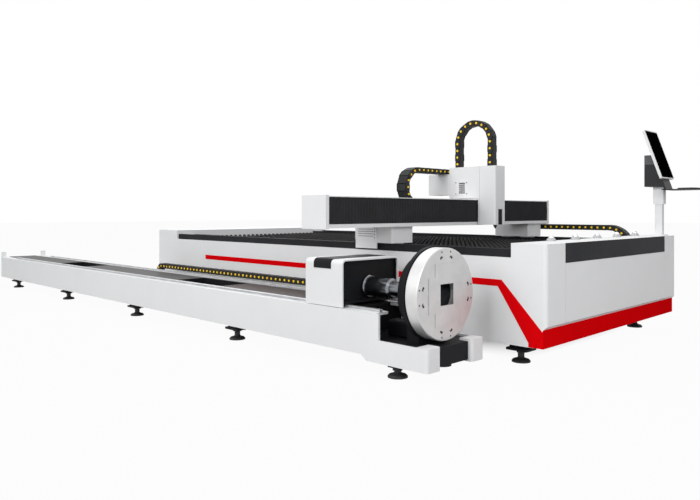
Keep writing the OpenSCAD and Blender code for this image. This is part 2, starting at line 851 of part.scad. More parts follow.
module console_post() {
    half = post_d / 2;
    collar = half + 14;
    cap_z = console_z - 1;
    color(white) difference() {
        union() {
            along_z(bed_h, bed_h + 8)
                round_rect([post_x - half - 25, post_y - half - 20], [post_x + half + 25, post_y + half + 20], 8);
            along_z(bed_h, collar_z + 20)
                round_rect([post_x - half, post_y - half + 4], [post_x + half, post_y + half - 4], 6);
            along_z(collar_z, cap_z)
                round_rect([post_x - collar, post_y - half - 2], [post_x + collar, post_y + half + 2], 8);
        }
        along_z(bed_h - eps, cap_z - 30)
            round_rect([post_x - half + 4, post_y - half + 8], [post_x + half - 4, post_y + half - 8], 4);
        translate([post_x, post_y, cap_z - 31]) cylinder(r = 12 + fit_gap, h = 40);
    }
}

module chain_trays() {
    gantry_y1 = bed_y1 + tray_w;
    tube_y1 = tube_far_y + tube_tray_w;
    color(white) {
        along_x(bed_x0 + 1350, bed_x1 - 365) polygon([
            [bed_y1, gantry_tray_z], [gantry_y1, gantry_tray_z],
            [gantry_y1, gantry_tray_z + tray_lip], [gantry_y1 - sheet_t, gantry_tray_z + tray_lip],
            [gantry_y1 - sheet_t, gantry_tray_z + sheet_t], [bed_y1 + sheet_t, gantry_tray_z + sheet_t],
            [bed_y1 + sheet_t, gantry_tray_z + tray_lip], [bed_y1, gantry_tray_z + tray_lip]
        ]);
        along_x(tube_x0 + 110, tube_x1 - 190) polygon([
            [tube_far_y, tube_tray_z], [tube_y1, tube_tray_z], [tube_y1, tube_tray_z + tray_lip],
            [tube_y1 - sheet_t, tube_tray_z + tray_lip], [tube_y1 - sheet_t, tube_tray_z + sheet_t],
            [tube_far_y, tube_tray_z + sheet_t]
        ]);
    }
}

module gantry_chain() {
    color(dark) translate([gantry_attach_x + gantry_run_l, gantry_chain_y, (gantry_run_z + gantry_rest_z) / 2])
        rotate([0, 0, 180]) rotate([90, 0, 0])
            chain(gantry_run_l - chain_gap, gantry_loop_r, gantry_rest_l, gantry_chain_w, link_h);
}

// Side outline of a tube bed wall with its stepped end leg.
module tube_wall_side() {
    polygon([
        [tube_x0, tube_clear], [tube_x1 - 150, tube_clear], [tube_x1 - 150 + leg_step, leg_clear],
        [tube_end_x, leg_clear], [tube_end_x, leg_h], [tube_x1, leg_h], [tube_x1, tube_h],
        [tube_x0, tube_h]
    ]);
}

module tube_walls() {
    color(white) for (y = [tube_near_y, tube_in_y1]) {
        near = y == tube_near_y;
        post_y0 = near ? y : y + tube_wall_w - post_w;
        bay_y0 = near ? y + skin_t : y - eps;
        bay_y1 = bay_y0 + tube_wall_w - skin_t + eps;
        difference() {
            intersection() {
                along_y(y, y + tube_wall_w) tube_wall_side();
                along_z(0, tube_h) {
                    translate([tube_x0, y]) square([tube_l - leg_r, tube_wall_w]);
                    translate([tube_x0, y + leg_r]) square([tube_l, tube_wall_w - 2 * leg_r]);
                    for (c = [y + leg_r, y + tube_wall_w - leg_r])
                        translate([tube_end_x - leg_r, c]) circle(leg_r);
                }
            }
            span([bay_x, bay_y0, spine_h - deck_t], [tube_end_x - 95, bay_y1, tube_h - skin_t]);
            span([tube_x1 - rail_margin, bay_y0, spine_h], [tube_x1 + eps, bay_y1, tube_h + eps]);
        }
        along_z(tube_h - eps, tube_h + post_h)
            round_rect([tube_x0, post_y0], [tube_x0 + post_w, post_y0 + post_w], 8);
    }
}

// Middle of each hatch along X.
hatch_x = [for (i = [0:1]) tube_x0 + hatch_start + i * hatch_pitch];

module tube_spine() {
    floor_t = 8;
    low = tube_clear + 10;
    skin_y0 = tube_near_y + skin_t;
    skin_y1 = tube_far_y - skin_t;
    color(dark) {
        difference() {
            span([tube_x0 + 20, tube_in_y0, low], [tube_end_x - 30, tube_in_y1, spine_h]);
            span([tube_x0, tube_in_y0 + floor_t, low + floor_t],
                [tube_end_x - 30 - floor_t, tube_in_y1 - floor_t, spine_h - floor_t]);
        }
        span([tube_end_x - 30 - floor_t, tube_in_y0, leg_clear + 12], [tube_end_x - 30, tube_in_y1, low + eps]);
        span([bay_x, skin_y0, spine_h - deck_t], [tube_end_x - 95, skin_y1, spine_h]);
        span([bay_x, skin_y0, spine_h - eps], [bay_x + floor_t, skin_y1, tube_h - skin_t]);
        span([bay_x, tube_in_y0, spine_h - eps], [bay_x + floor_t, tube_in_y1, tube_h]);
        for (x = hatch_x) difference() {
            span([x - hatch_l / 2 - floor_t, tube_in_y0 + 10, spine_h - eps],
                [x + hatch_l / 2 + floor_t, tube_in_y1 - 10, tube_h]);
            span([x - hatch_l / 2, tube_in_y0 + 10 + floor_t, spine_h],
                [x + hatch_l / 2, tube_in_y1 - 10 - floor_t, tube_h + eps]);
        }
    }
}

module tube_deck() {
    color("#4a4846") difference() {
        span([tube_x0, tube_in_y0 - 20, tube_h], [bay_x + 8, tube_in_y1 + 3, tube_h + deck_t]);
        for (x = hatch_x)
            span([x - hatch_l / 2, tube_in_y0 + 18, tube_h - eps],
                [x + hatch_l / 2, tube_in_y1 - 18, tube_h + deck_t + eps]);
    }
}

module tube_chain() {
    loop_x = carriage_x - tube_run_l;
    color(dark) translate([loop_x, tube_far_y + 5 + tube_chain_w / 2, (tube_run_z + tube_rest_z) / 2])
        rotate([90, 0, 0]) chain(tube_run_l - chain_gap, tube_loop_r, tube_rest_l, tube_chain_w, link_h);
}

module chuck_housing() {
    foot_w = 280;
    color(dark) difference() {
        union() {
            on_tube_axis() polygon([
                [bearing_r - 10, housing_x], [bearing_r + 30, housing_x], [bearing_r + 30, backing_x],
                [backing_d / 2, backing_x], [backing_d / 2, backing_x + backing_t],
                [bearing_r - 10, backing_x + backing_t]
            ]);
            span([housing_x, tube_y - foot_w / 2, spine_h], [backing_x + backing_t - 10, tube_y + foot_w / 2, axis_z - bearing_r]);
        }
        on_tube_axis() translate([0, housing_x + 10]) square([bearing_r, housing_l]);
        on_tube_axis() translate([0, housing_x - eps]) square([bearing_r - 20, housing_l * 2]);
    }
}

module chuck_bearing() {
    color(steel) on_tube_axis() translate([quill_r + fit_gap, housing_x + 10])
        square([bearing_r - quill_r - fit_gap, housing_l]);
}

module chuck_motor() {
    size = 112;
    color(dark) {
        along_x(housing_x - 20, housing_x)
            round_rect([tube_y - size / 2 - 8, spine_h], [tube_y + size / 2 + 8, spine_h + size], 8);
        along_x(housing_x - 230, housing_x - 20)
            round_rect([tube_y - size / 2, spine_h], [tube_y + size / 2, spine_h + size - 8], 14);
    }
}

module console_box() {
    back_x = post_x - 98;
    lean = tan(screen_lean);
    front_x = screen_x - run_gap;
    color(dark) {
        difference() {
            along_y(post_y - console_w / 2, post_y + console_w / 2) polygon([
                [back_x, console_z], [post_x + 58, console_z], [post_x + 64, key_z],
                [front_x + (screen_z - key_z) * lean, key_z],
                [front_x - (console_z + console_h - screen_z) * lean, console_z + console_h],
                [back_x, console_z + console_h]
            ]);
            for (y = [post_y - console_w / 2 - eps, post_y + console_w / 2 - 2])
                span([back_x + 12, y, console_z + console_h - 84],
                    [post_x - 10, y + 2 + eps, console_z + console_h - 80]);
        }
        translate([post_x, post_y, console_z - 29]) cylinder(r = 12, h = 30);
    }
}

// Frame of the screen: X out of the glass, Z up along it, at the lower back edge.
module at_screen() {
    translate([screen_x, post_y, screen_z]) rotate([0, -screen_lean, 0]) children();
}

module screen_shell() {
    bezel = 9;
    color(white) at_screen() difference() {
        along_x(0, screen_t) round_rect([-screen_w / 2, 0], [screen_w / 2, screen_l], 10);
        along_x(screen_t - 3, screen_t + eps)
            round_rect([-screen_w / 2 + bezel, bezel], [screen_w / 2 - bezel, screen_l - bezel], 4);
    }
}

module screen_glass() {
    bezel = 9 + run_gap;
    color("#101114") at_screen() along_x(screen_t - 3, screen_t)
        round_rect([-screen_w / 2 + bezel, bezel], [screen_w / 2 - bezel, screen_l - bezel], 4 - run_gap);
}

module keyboard_tray() {
    x1 = post_x + tray_reach;
    lip = 8;
    color(dark) {
        along_z(key_z - key_tray_t, key_z)
            round_rect([post_x + 62, post_y - key_tray_w / 2], [x1, post_y + key_tray_w / 2], 10);
        span([x1 - 4, post_y - key_tray_w / 2 + 12, key_z - eps],
            [x1, post_y + key_tray_w / 2 - 12, key_z + lip]);
    }
}

module keyboard() {
    rows = 4;
    columns = 12;
    x0 = post_x + tray_reach - 150;
    l = 130;
    w = key_tray_w - 40;
    pitch_x = (l - 14) / rows;
    pitch_y = (w - 14) / columns;
    color("#3a3c40") {
        along_z(key_z, key_z + 7)
            round_rect([x0, post_y - w / 2], [x0 + l, post_y + w / 2], 8);
        for (i = [0:rows - 1], j = [0:columns - 1])
            translate([x0 + 7 + i * pitch_x, post_y - w / 2 + 7 + j * pitch_y, key_z + 6])
                cube([pitch_x - 4, pitch_y - 4, 4]);
    }
}

module saddles() {
    x1 = gantry_x + saddle_l;
    r = 12;
    arm_x = gantry_attach_x - 30;
    far_y = bed_y1 + saddle_out;
    color(white) {
        along_z(saddle_z, beam_z)
            round_rect([gantry_x, saddle_y0], [x1, saddle_y0 + saddle_w], r);
        along_z(saddle_z, beam_z)
            round_rect([gantry_x, far_y - saddle_w], [x1, far_y], r);
        span([arm_x, far_y - eps, gantry_run_z - link_h / 2],
            [gantry_attach_x, gantry_chain_y + gantry_chain_w / 2, gantry_run_z + link_h / 2]);
    }
}

module saddle_covers() {
    y = saddle_y0 - cover_t;
    z0 = saddle_z - cover_drop;
    step_z = saddle_z + 22;
    slot_h = 5;
    color(white) both_sides() difference() {
        span([gantry_x - 1, y, z0], [gantry_x - 1 + cover_l, saddle_y0, beam_z]);
        span([gantry_x - 1 - eps, y - eps, z0 - eps], [gantry_x + cover_l, y + 4, step_z]);
        for (i = [0:3])
            span([gantry_x + 30, y - eps, step_z + 26 + i * 18],
                [gantry_x + cover_l - 32, y + 5, step_z + 26 + i * 18 + slot_h]);
    }
}

module bearing_blocks() {
    block_l = 110;
    block_w = rail_w + 42;
    color(steel) both_sides()
        for (x = [gantry_x + 25, gantry_x + saddle_l - 25 - block_l])
            along_x(x, x + block_l) difference() {
                translate([rail_y - block_w / 2, rail_z + rail_h * 0.25])
                    square([block_w, saddle_z - rail_z - rail_h * 0.25]);
                translate([rail_y, rail_z]) rail_section(rail_w, rail_h, run_gap);
            }
}

module beam() {
    skin = tube_wall;
    tray_x0 = head_chain_x - head_chain_w / 2 - 15;
    color(white) {
        along_y(beam_y0, beam_y1) difference() {
            translate([beam_x0, beam_z]) square([beam_d, beam_h]);
            translate([beam_x0 + skin, beam_z + skin])
                square([beam_d - pocket_d - 2 * skin, beam_h - 2 * skin]);
            translate([pocket_x, pocket_z0]) square([pocket_d + eps, pocket_z1 - pocket_z0]);
        }
        along_y(beam_y0 + 310, beam_y1 - 600) polygon([
            [beam_x0 + eps, head_tray_z], [beam_x0 + eps, head_tray_z + sheet_t],
            [tray_x0 + sheet_t, head_tray_z + sheet_t], [tray_x0 + sheet_t, head_tray_z + tray_lip],
            [tray_x0, head_tray_z + tray_lip], [tray_x0, head_tray_z]
        ]);
    }
}

module beam_end_caps() {
    grow = cap_t + 1;
    color(white)
        for (y = [beam_y0 - cap_t, beam_y1 + cap_t - cap_w]) difference() {
            span([beam_x0 - grow, y, beam_z - grow], [beam_x1 + grow, y + cap_w, beam_top + grow]);
            span([beam_x0 - 1, y < 0 ? y + cap_t : y - eps, beam_z - 1],
                [beam_x1 + 1, y < 0 ? y + cap_w + eps : y + cap_w - cap_t, beam_top + 1]);
        }
}

module beam_rails() {
    color(steel) for (z = beam_rail_z)
        along_y(beam_y0 + cap_w, beam_y1 - cap_w) translate([pocket_x, z]) rotate(-90)
            rail_section(beam_rail_w, beam_rail_h, 0);
}

module bellows_side(y0, y1) {
    n = 2 * round((y1 - y0) / pleat_pitch);
    along_z(pocket_z0 + pocket_gap, pocket_z1 - pocket_gap)
        polygon(concat(pleats(y0, y1, n, beam_x1), reversed(pleats(y0, y1, n, beam_x1 - cloth_t))));
}

module bellows() {
    color("#222326") {
        bellows_side(beam_y0 + cap_w, head_y - head_neck_w / 2 - bellows_slack);
        bellows_side(head_y + head_neck_w / 2 + bellows_slack, beam_y1 - cap_w);
    }
}

module head_chain() {
    color(dark) translate([head_chain_x, head_y + 30 - head_run_l, (head_run_z + head_rest_z) / 2])
        rotate([90, 0, 90]) chain(head_run_l, head_loop_r, head_rest_l, head_chain_w, head_link_h);
}

module head_slide() {
    plate_x = pocket_x + beam_rail_h + 20;
    shoe = beam_rail_w + 34;
    front_x = head_seam_x - 12;
    guide_x = head_seam_x + 10;
    color(grey) difference() {
        union() {
            for (z = beam_rail_z)
                span([pocket_x + beam_rail_h * 0.25, head_y0, z - shoe / 2], [plate_x, head_y1, z + shoe / 2]);
            span([plate_x - eps, head_y0, beam_rail_z[0] - shoe / 2], [plate_x + 18, head_y1, beam_rail_z[1] + shoe / 2]);
            span([plate_x + 17, head_y - head_neck_w / 2, pocket_z0 + 12],
                [front_x + eps, head_y + head_neck_w / 2, pocket_z1 - 16]);
            span([front_x, head_y0 + head_wall, head_z + 26],
                [guide_x - run_gap, head_y1 - head_wall, head_top - 60]);
        }
        for (z = beam_rail_z)
            along_y(head_y0 - eps, head_y1 + eps) translate([pocket_x, z]) rotate(-90)
                rail_section(beam_rail_w, beam_rail_h, run_gap);
    }
}

// Side outline of the head's main cover, over the beam and down its front.
module head_cover_side() {
    over_z = beam_top + cap_t + head_gap;
    front_x = beam_x1 + cap_t + head_gap;
    polygon([
        [head_x0, over_z], [front_x, over_z], [front_x, head_z], [head_seam_x, head_z],
        [head_seam_x, head_top], [head_x0, head_top]
    ]);
}

module head_cover() {
    over_z = beam_top + cap_t + head_gap;
    color(white) {
        difference() {
            for (y = [head_y0, head_y1 - head_wall])
                along_y(y, y + head_wall) head_cover_side();
            span([grille_x - grille_w * 0.24, head_y0 - eps, grille_z - grille_h * 0.4],
                [grille_x + grille_w * 0.34, head_y0 + head_wall + eps, grille_z + grille_h * 0.4]);
        }
        span([head_x0, head_y0, head_top - head_wall], [head_seam_x, head_y1, head_top]);
        span([head_x0, head_y0, over_z], [head_x0 + head_wall, head_y1, head_top]);
        span([head_x0, head_y0, over_z], [beam_x1, head_y1, over_z + head_wall]);
    }
}

// Plan of the head's front cover, with rounded front corners, drawn in by a distance.
module front_plan(inset) {
    r = 16 - inset;
    x1 = head_x1 - inset;
    y0 = head_y0 + inset;
    y1 = head_y1 - inset;
    x0 = head_seam_x + head_seam;
    translate([x0, y0]) square([x1 - r - x0, y1 - y0]);
    translate([x0, y0 + r]) square([x1 - x0, y1 - y0 - 2 * r]);
    for (y = [y0 + r, y1 - r]) translate([x1 - r, y]) circle(r);
}

module head_front_cover() {
    color(white) difference() {
        along_z(head_z, head_top) front_plan(0);
        along_z(head_z - eps, head_top - head_wall) front_plan(head_wall);
        span([head_seam_x - eps, head_y0 + head_wall, head_z - eps],
            [head_seam_x + 20, head_y1 - head_wall, head_top - head_wall]);
        span([head_x1 - 20, head_y - head_slot_w / 2, head_z - eps],
            [head_x1 + eps, head_y + head_slot_w / 2, head_z + head_slot_h]);
    }
}

module head_drive_box() {
    color(white) along_z(rear_box_top - rear_box_h, rear_box_top)
        round_rect([head_x0 - rear_box_l, head_y0], [head_x0, head_y1], 10);
}

module fan_grille() {
    t = 3;
    color(white) difference() {
        along_y(head_y0 - t, head_y0)
            round_rect([grille_x - grille_w / 2, grille_z - grille_h / 2],
                [grille_x + grille_w / 2, grille_z + grille_h / 2], 6);
        for (i = [-2.5:2.5])
            span([grille_x - grille_w * 0.18, head_y0 - t - eps, grille_z + i * 17 - 5],
                [grille_x + grille_w * 0.28, head_y0 + eps, grille_z + i * 17 + 5]);
    }
}

module lift_chain() {
    rear_x = head_x0 + 70;
    color(dark) translate([rear_x + lift_r, head_y - 20, head_top + lift_leg + chain_gap])
        rotate([0, 90, 0]) rotate([90, 0, 0])
            chain(lift_leg, lift_r, lift_leg, lift_chain_w, link_h);
}

module lift_plate() {
    x0 = head_seam_x + 10;
    color(grey) span([x0, head_y - 43, head_z + 106], [x0 + 20, head_y + 43, head_top - 110]);
}

module cutting_head() {
    z1 = head_top - 110;
    body = barrel_r + 6;
    neck_z = head_z + 91;
    x0 = head_seam_x + 30;
    color(steel) {
        along_z(neck_z, z1)
            round_rect([barrel_x - body, head_y - body], [barrel_x + body, head_y + body], 10);
        span([x0, head_y - 25, neck_z + 40], [barrel_x, head_y + 25, z1 - 30]);
        translate([barrel_x, head_y, 0]) rotate_extrude() polygon([
            [0, tip_z + 29], [18, tip_z + 29], [barrel_r, tip_z + 64], [barrel_r, neck_z + eps],
            [0, neck_z + eps]
        ]);
    }
}

module nozzle() {
    color("#b87a3c") translate([barrel_x, head_y, 0]) rotate_extrude() polygon([
        [1.5, tip_z], [4, tip_z], [9, tip_z + 14], [15, tip_z + 16], [15, tip_z + 29],
        [1.5, tip_z + 29]
    ]);
}

// Repeats a shape drawn on the upper side of the tube axis at the four sides of the chuck.
module four_sides() {
    for (a = [0:90:270])
        translate([0, tube_y, axis_z]) rotate([a, 0, 0]) children();
}

module chuck_body() {
    edge = 5;
    r = chuck_d / 2;
    slot_end = jaw_open + key_l + jaw_travel + 4;
    color(steel) difference() {
        on_tube_axis() polygon([
            [bore_r, quill_x], [quill_r, quill_x], [quill_r, disc_x], [r - edge, disc_x],
            [r, disc_x + edge], [r, chuck_x - edge], [r - edge, chuck_x], [bore_r, chuck_x]
        ]);
        four_sides() span([chuck_x - key_d - jaw_gap, -key_w / 2 - jaw_gap, bore_r / 2],
            [chuck_x + eps, key_w / 2 + jaw_gap, slot_end]);
    }
}

// Key that guides a jaw in its slot, drawn on the upper side of the tube axis.
module jaw_key() {
    span([chuck_x - key_d, -key_w / 2, jaw_open + 10], [chuck_x + jaw_gap + eps, key_w / 2, jaw_open + key_l]);
}

// Jaw on the upper side of the tube axis, as wide as the whole cross.
module wide_jaw() {
    span([chuck_x + jaw_gap, -jaw_w / 2, jaw_open], [chuck_x + jaw_gap + jaw_t, jaw_w / 2, jaw_open + jaw_l]);
    jaw_key();
}

// Jaw whose tongue runs between the two wide jaws, drawn on the upper side of the tube axis.
module tongue_jaw() {
    shoulder = jaw_w / 2 + jaw_gap;
    tongue = jaw_open - jaw_gap;
    translate([chuck_x + jaw_gap, 0, 0]) along_x(0, jaw_t) polygon([
        [-tongue, jaw_open], [tongue, jaw_open], [tongue, shoulder], [jaw_w / 2 - 4, shoulder],
        [jaw_w / 2 - 4, shoulder + 62], [-jaw_w / 2 + 4, shoulder + 62], [-jaw_w / 2 + 4, shoulder],
        [-tongue, shoulder]
    ]);
    jaw_key();
}

module jaw_top() {
    color(steel) translate([0, tube_y, axis_z]) wide_jaw();
}

module jaw_bottom() {
    color(steel) translate([0, tube_y, axis_z]) rotate([180, 0, 0]) wide_jaw();
}

module jaw_near() {
    color(steel) translate([0, tube_y, axis_z]) rotate([90, 0, 0]) tongue_jaw();
}

module jaw_far() {
    color(steel) translate([0, tube_y, axis_z]) rotate([-90, 0, 0]) tongue_jaw();
}

module carriage_base() {
    shoe_w = tube_rail_w + 34;
    shoe_l = 90;
    arm_l = 56;
    arm_y1 = tube_far_y + 5 + tube_chain_w;
    color(grey) difference() {
        union() {
            span([carriage_x + shell_t, shell_y0 + shell_t, base_z],
                [carriage_x1, shell_y1 - shell_t, base_z + base_t]);
            for (y = tube_rail_y, x = [carriage_x + 30, carriage_x1 - 30 - shoe_l])
                span([x, y - shoe_w / 2, tube_h + tube_rail_h * 0.25], [x + shoe_l, y + shoe_w / 2, base_z + eps]);
            span([carriage_x + 20, shell_y1 - shell_t - eps, base_z], [carriage_x + 20 + arm_l, arm_y1, base_z + base_t]);
            span([carriage_x, tube_far_y + 5, base_z], [carriage_x + 20 + arm_l, arm_y1, tube_run_z + link_h / 2]);
        }
        for (y = tube_rail_y)
            along_x(carriage_x - eps, carriage_x1 + eps) translate([y, tube_h])
                rail_section(tube_rail_w, tube_rail_h, run_gap);
    }
}

module headstock() {
    inside = shell_t + 0.3;
    liner_t = 3;
    color(dark) difference() {
        union() {
            along_x(carriage_x + 66, bulkhead_x)
                round_rect([tube_y - 125, base_z + base_t], [tube_y + 125, axis_z + 125], 30);
            along_x(bulkhead_x - eps, bulkhead_x + 28)
                round_rect([shell_y0 + inside, base_z + base_t], [shell_y1 - inside, shell_top - inside], shell_r - 6);
            difference() {
                along_x(bulkhead_x, carriage_x1 - 12) difference() {
                    shell_outline(-inside);
                    shell_outline(-inside - liner_t);
                }
                span([carriage_x, shell_y0, 0], [carriage_x1, shell_y1, base_z + base_t]);
            }
        }
        on_tube_axis() translate([0, carriage_x]) square([shaft_r + fit_gap, carriage_l]);
    }
}

// Outline of the shell seen along X, grown by a distance.
module shell_outline(grow) {
    round_rect([shell_y0 - grow, shell_z - 60], [shell_y1 + grow, shell_top + grow], shell_r + grow);
}

module carriage_shell() {
    color(white) difference() {
        along_x(carriage_x, carriage_x1) shell_outline(0);
        along_x(carriage_x + shell_t, carriage_x1 + eps) shell_outline(-shell_t);
        span([carriage_x - eps, shell_y0 - eps, 0], [carriage_x1 + eps, shell_y1 + eps, shell_z]);
        span([carriage_x - eps, shell_y0 + shell_t, 0], [carriage_x + shell_t + eps, shell_y1 - shell_t, base_z]);
        span([carriage_x + 20 - run_gap, tube_y, shell_z - eps],
            [carriage_x + 76 + run_gap, shell_y1 + eps, base_z + base_t + run_gap]);
    }
}

module shell_cap() {
    gap = 0.2;
    t = 3;
    x0 = carriage_x + 85;
    color(dark) difference() {
        along_x(x0, x0 + insert_l) shell_outline(gap + t);
        along_x(x0 - eps, x0 + insert_l + eps) shell_outline(gap);
        span([x0 - eps, shell_y0 - 10, 0], [x0 + insert_l + eps, tube_y, shell_top - 62]);
        span([x0 - eps, tube_y - eps, 0], [x0 + insert_l + eps, shell_y1 + 10, shell_top - 40]);
    }
}

module spindle() {
    bulkhead_face = bulkhead_x + 28;
    body_x = bulkhead_face + 28;
    nose_x = body_x + 190;
    tip_x = carriage_x1 + nose_reach;
    color(steel) on_tube_axis() polygon([
        [30, carriage_x + 40], [shaft_r, carriage_x + 40], [shaft_r, bulkhead_face + 0.3],
        [flange_r, bulkhead_face + 0.3], [flange_r, body_x - 6], [flange_r - 5, body_x],
        [spindle_r, body_x], [spindle_r, nose_x], [nose_r + 6, nose_x + 14], [nose_r, nose_x + 14],
        [nose_r, tip_x - 5], [nose_r - 5, tip_x], [30, tip_x]
    ]);
}

side_panels();
rear_cover();
front_cover();
front_panel();
front_band();
plinth();
side_stripes();
rail_guards();
rail_beams();
cross_members();
slat_carriers();
slats();
guide_rails();
drive_racks();
foot_plates();
feet();
ball_cups();
balls();
console_post();
chain_trays();
gantry_chain();
tube_walls();
tube_spine();
tube_deck();
tube_chain();
chuck_housing();
chuck_bearing();
chuck_motor();
console_box();
screen_shell();
screen_glass();
keyboard_tray();
keyboard();
saddles();
saddle_covers();
bearing_blocks();
beam();
beam_end_caps();
beam_rails();
bellows();
head_chain();
head_slide();
head_cover();
head_front_cover();
head_drive_box();
fan_grille();
lift_chain();
lift_plate();
cutting_head();
nozzle();
chuck_body();
jaw_top();
jaw_bottom();
jaw_near();
jaw_far();
carriage_base();
headstock();
carriage_shell();
shell_cap();
spindle();
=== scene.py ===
"""Looks of a combined sheet and tube laser cutting machine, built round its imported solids."""

import json
import math

import bpy
import numpy as np
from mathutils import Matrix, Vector


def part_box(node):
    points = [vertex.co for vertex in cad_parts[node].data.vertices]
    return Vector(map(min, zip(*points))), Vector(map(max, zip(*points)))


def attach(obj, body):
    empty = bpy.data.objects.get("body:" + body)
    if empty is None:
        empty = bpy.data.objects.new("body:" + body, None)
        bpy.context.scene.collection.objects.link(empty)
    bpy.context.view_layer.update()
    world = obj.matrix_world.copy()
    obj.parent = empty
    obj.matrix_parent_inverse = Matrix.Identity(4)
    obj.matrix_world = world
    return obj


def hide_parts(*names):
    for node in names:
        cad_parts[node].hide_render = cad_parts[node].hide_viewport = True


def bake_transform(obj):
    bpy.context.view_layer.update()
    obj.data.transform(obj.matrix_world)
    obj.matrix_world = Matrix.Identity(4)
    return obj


bl_info = {
    "name": "Sheet and Tube Laser Cutter",
    "version": (1, 0, 0),
    "blender": (4, 5, 0),
    "location": "View3D > Sidebar > Laser Cutter",
    "description": "Finishes, cable chains, bellows and fittings of a laser cutting machine",
    "category": "Object",
}

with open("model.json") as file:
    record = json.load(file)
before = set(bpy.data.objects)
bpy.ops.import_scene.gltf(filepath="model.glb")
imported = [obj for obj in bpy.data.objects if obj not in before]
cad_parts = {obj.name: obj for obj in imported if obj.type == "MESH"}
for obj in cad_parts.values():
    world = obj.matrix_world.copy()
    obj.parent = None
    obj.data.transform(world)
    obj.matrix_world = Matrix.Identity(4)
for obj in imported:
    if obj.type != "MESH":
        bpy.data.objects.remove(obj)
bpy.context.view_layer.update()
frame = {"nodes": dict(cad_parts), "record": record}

# Lengths are in metres, in the solids' frame: X along the beds to the front cover, Y to the far side, Z up.
# The tube axis, about which the chuck and the spindle turn:
AXIS_Y = -1.340
AXIS_Z = 0.500

CONSOLE_SEAM = 1.411  # height of the seam round the console box
SHARP = 0.0001  # length over which a sharp change of colour is drawn
PAINTED_TIP_HIGHLIGHT = 0.014  # height of the slats' tips that are painted lighter grey, a painted highlight for the light that they catch

CAMERA_PLACE = (5.79, -4.55, 1.0)
CAMERA_AIM = (-0.7096, 0.7046, 0.0)
CAMERA_LENS = 33.48
CAMERA_SHIFT = -0.0539
CAMERA_REACH = 200.0

WHITE = (1.0, 1.0, 1.0, 1.0)
WORLD_LIGHT = 0.55
WORLD_SEEN = 1.0
LAMPS = (  # name, place, point that it faces, side of its square, watts
    ("key", (1.5, -10.0, 5.5), (0.5, -0.5, 0.5), 6.0, 500.0),
    ("top", (0.5, 0.5, 7.5), (0.5, 0.0, 0.0), 7.0, 190.0),
    ("front", (7.8, -3.4, 3.0), (3.5, 0.0, 0.5), 3.0, 115.0),
    ("back", (-7.0, 6.0, 5.0), (-1.0, 0.0, 0.5), 5.0, 130.0),
)
FLOOR_REACH = 60.0
FLOOR_LINES = 9
FLOOR_WHITE = 0.96  # share of plain white in what the floor shows
FLOOR_WHITE_UNDER_SLATS = 0.08
FLOOR_FADE = (-0.5, 0.05)  # from the slats' edge, where that share changes: the edge of a painted shadow over the slats' box

PLATE = 0.006  # thickness of a chain link's side plate
PLATE_LENGTH = 0.72  # between the middles of a plate's round ends, in pitches
BAR_INSET = 0.011  # from a chain's side to the end of a cross bar
BAR_INSIDE = -0.36  # inner face of a cross bar, in link heights
LOOP_SPAN = 80.0  # span for a loop's share of the motion, so long that all its links would take one share; only worked out, not applied


# Colours and nodes


def linear(code):
    """sRGB hex colour as linear RGBA."""
    v = np.array([int(code[i : i + 2], 16) for i in (1, 3, 5)]) / 255
    return (*np.where(v <= 0.04045, v / 12.92, ((v + 0.055) / 1.055) ** 2.4), 1.0)


def add(tree, kind, settings=(), **inputs):
    """Adds a node with its settings, and its inputs as values or links."""
    node = tree.nodes.new(kind)
    for key, value in dict(settings).items():
        setattr(node, key, value)
    for key, value in inputs.items():
        socket = node.inputs[int(key[1:]) if key[1:].isdigit() else key.replace("_", " ")]
        if isinstance(value, bpy.types.NodeSocket):
            tree.links.new(value, socket)
        else:
            socket.default_value = value
    return node


def blank(name):
    """New material and its empty node tree."""
    material = bpy.data.materials.new(name)
    material.use_nodes = True
    material.node_tree.nodes.clear()
    return material, material.node_tree


def per_metre(millimetres):
    """Texture scale at which one feature is that many millimetres wide."""
    return 1000.0 / millimetres


def shows_background(tree):
    """1 on the rays that see the white background: from the camera, off metal and through glass; else 0."""
    path = add(tree, "ShaderNodeLightPath")
    seen = path.outputs["Is Camera Ray"]
    for ray in ("Is Glossy Ray", "Is Transmission Ray"):
        seen = add(tree, "ShaderNodeMath", {"operation": "MAXIMUM"}, i0=seen, i1=path.outputs[ray]).outputs[0]
    return seen


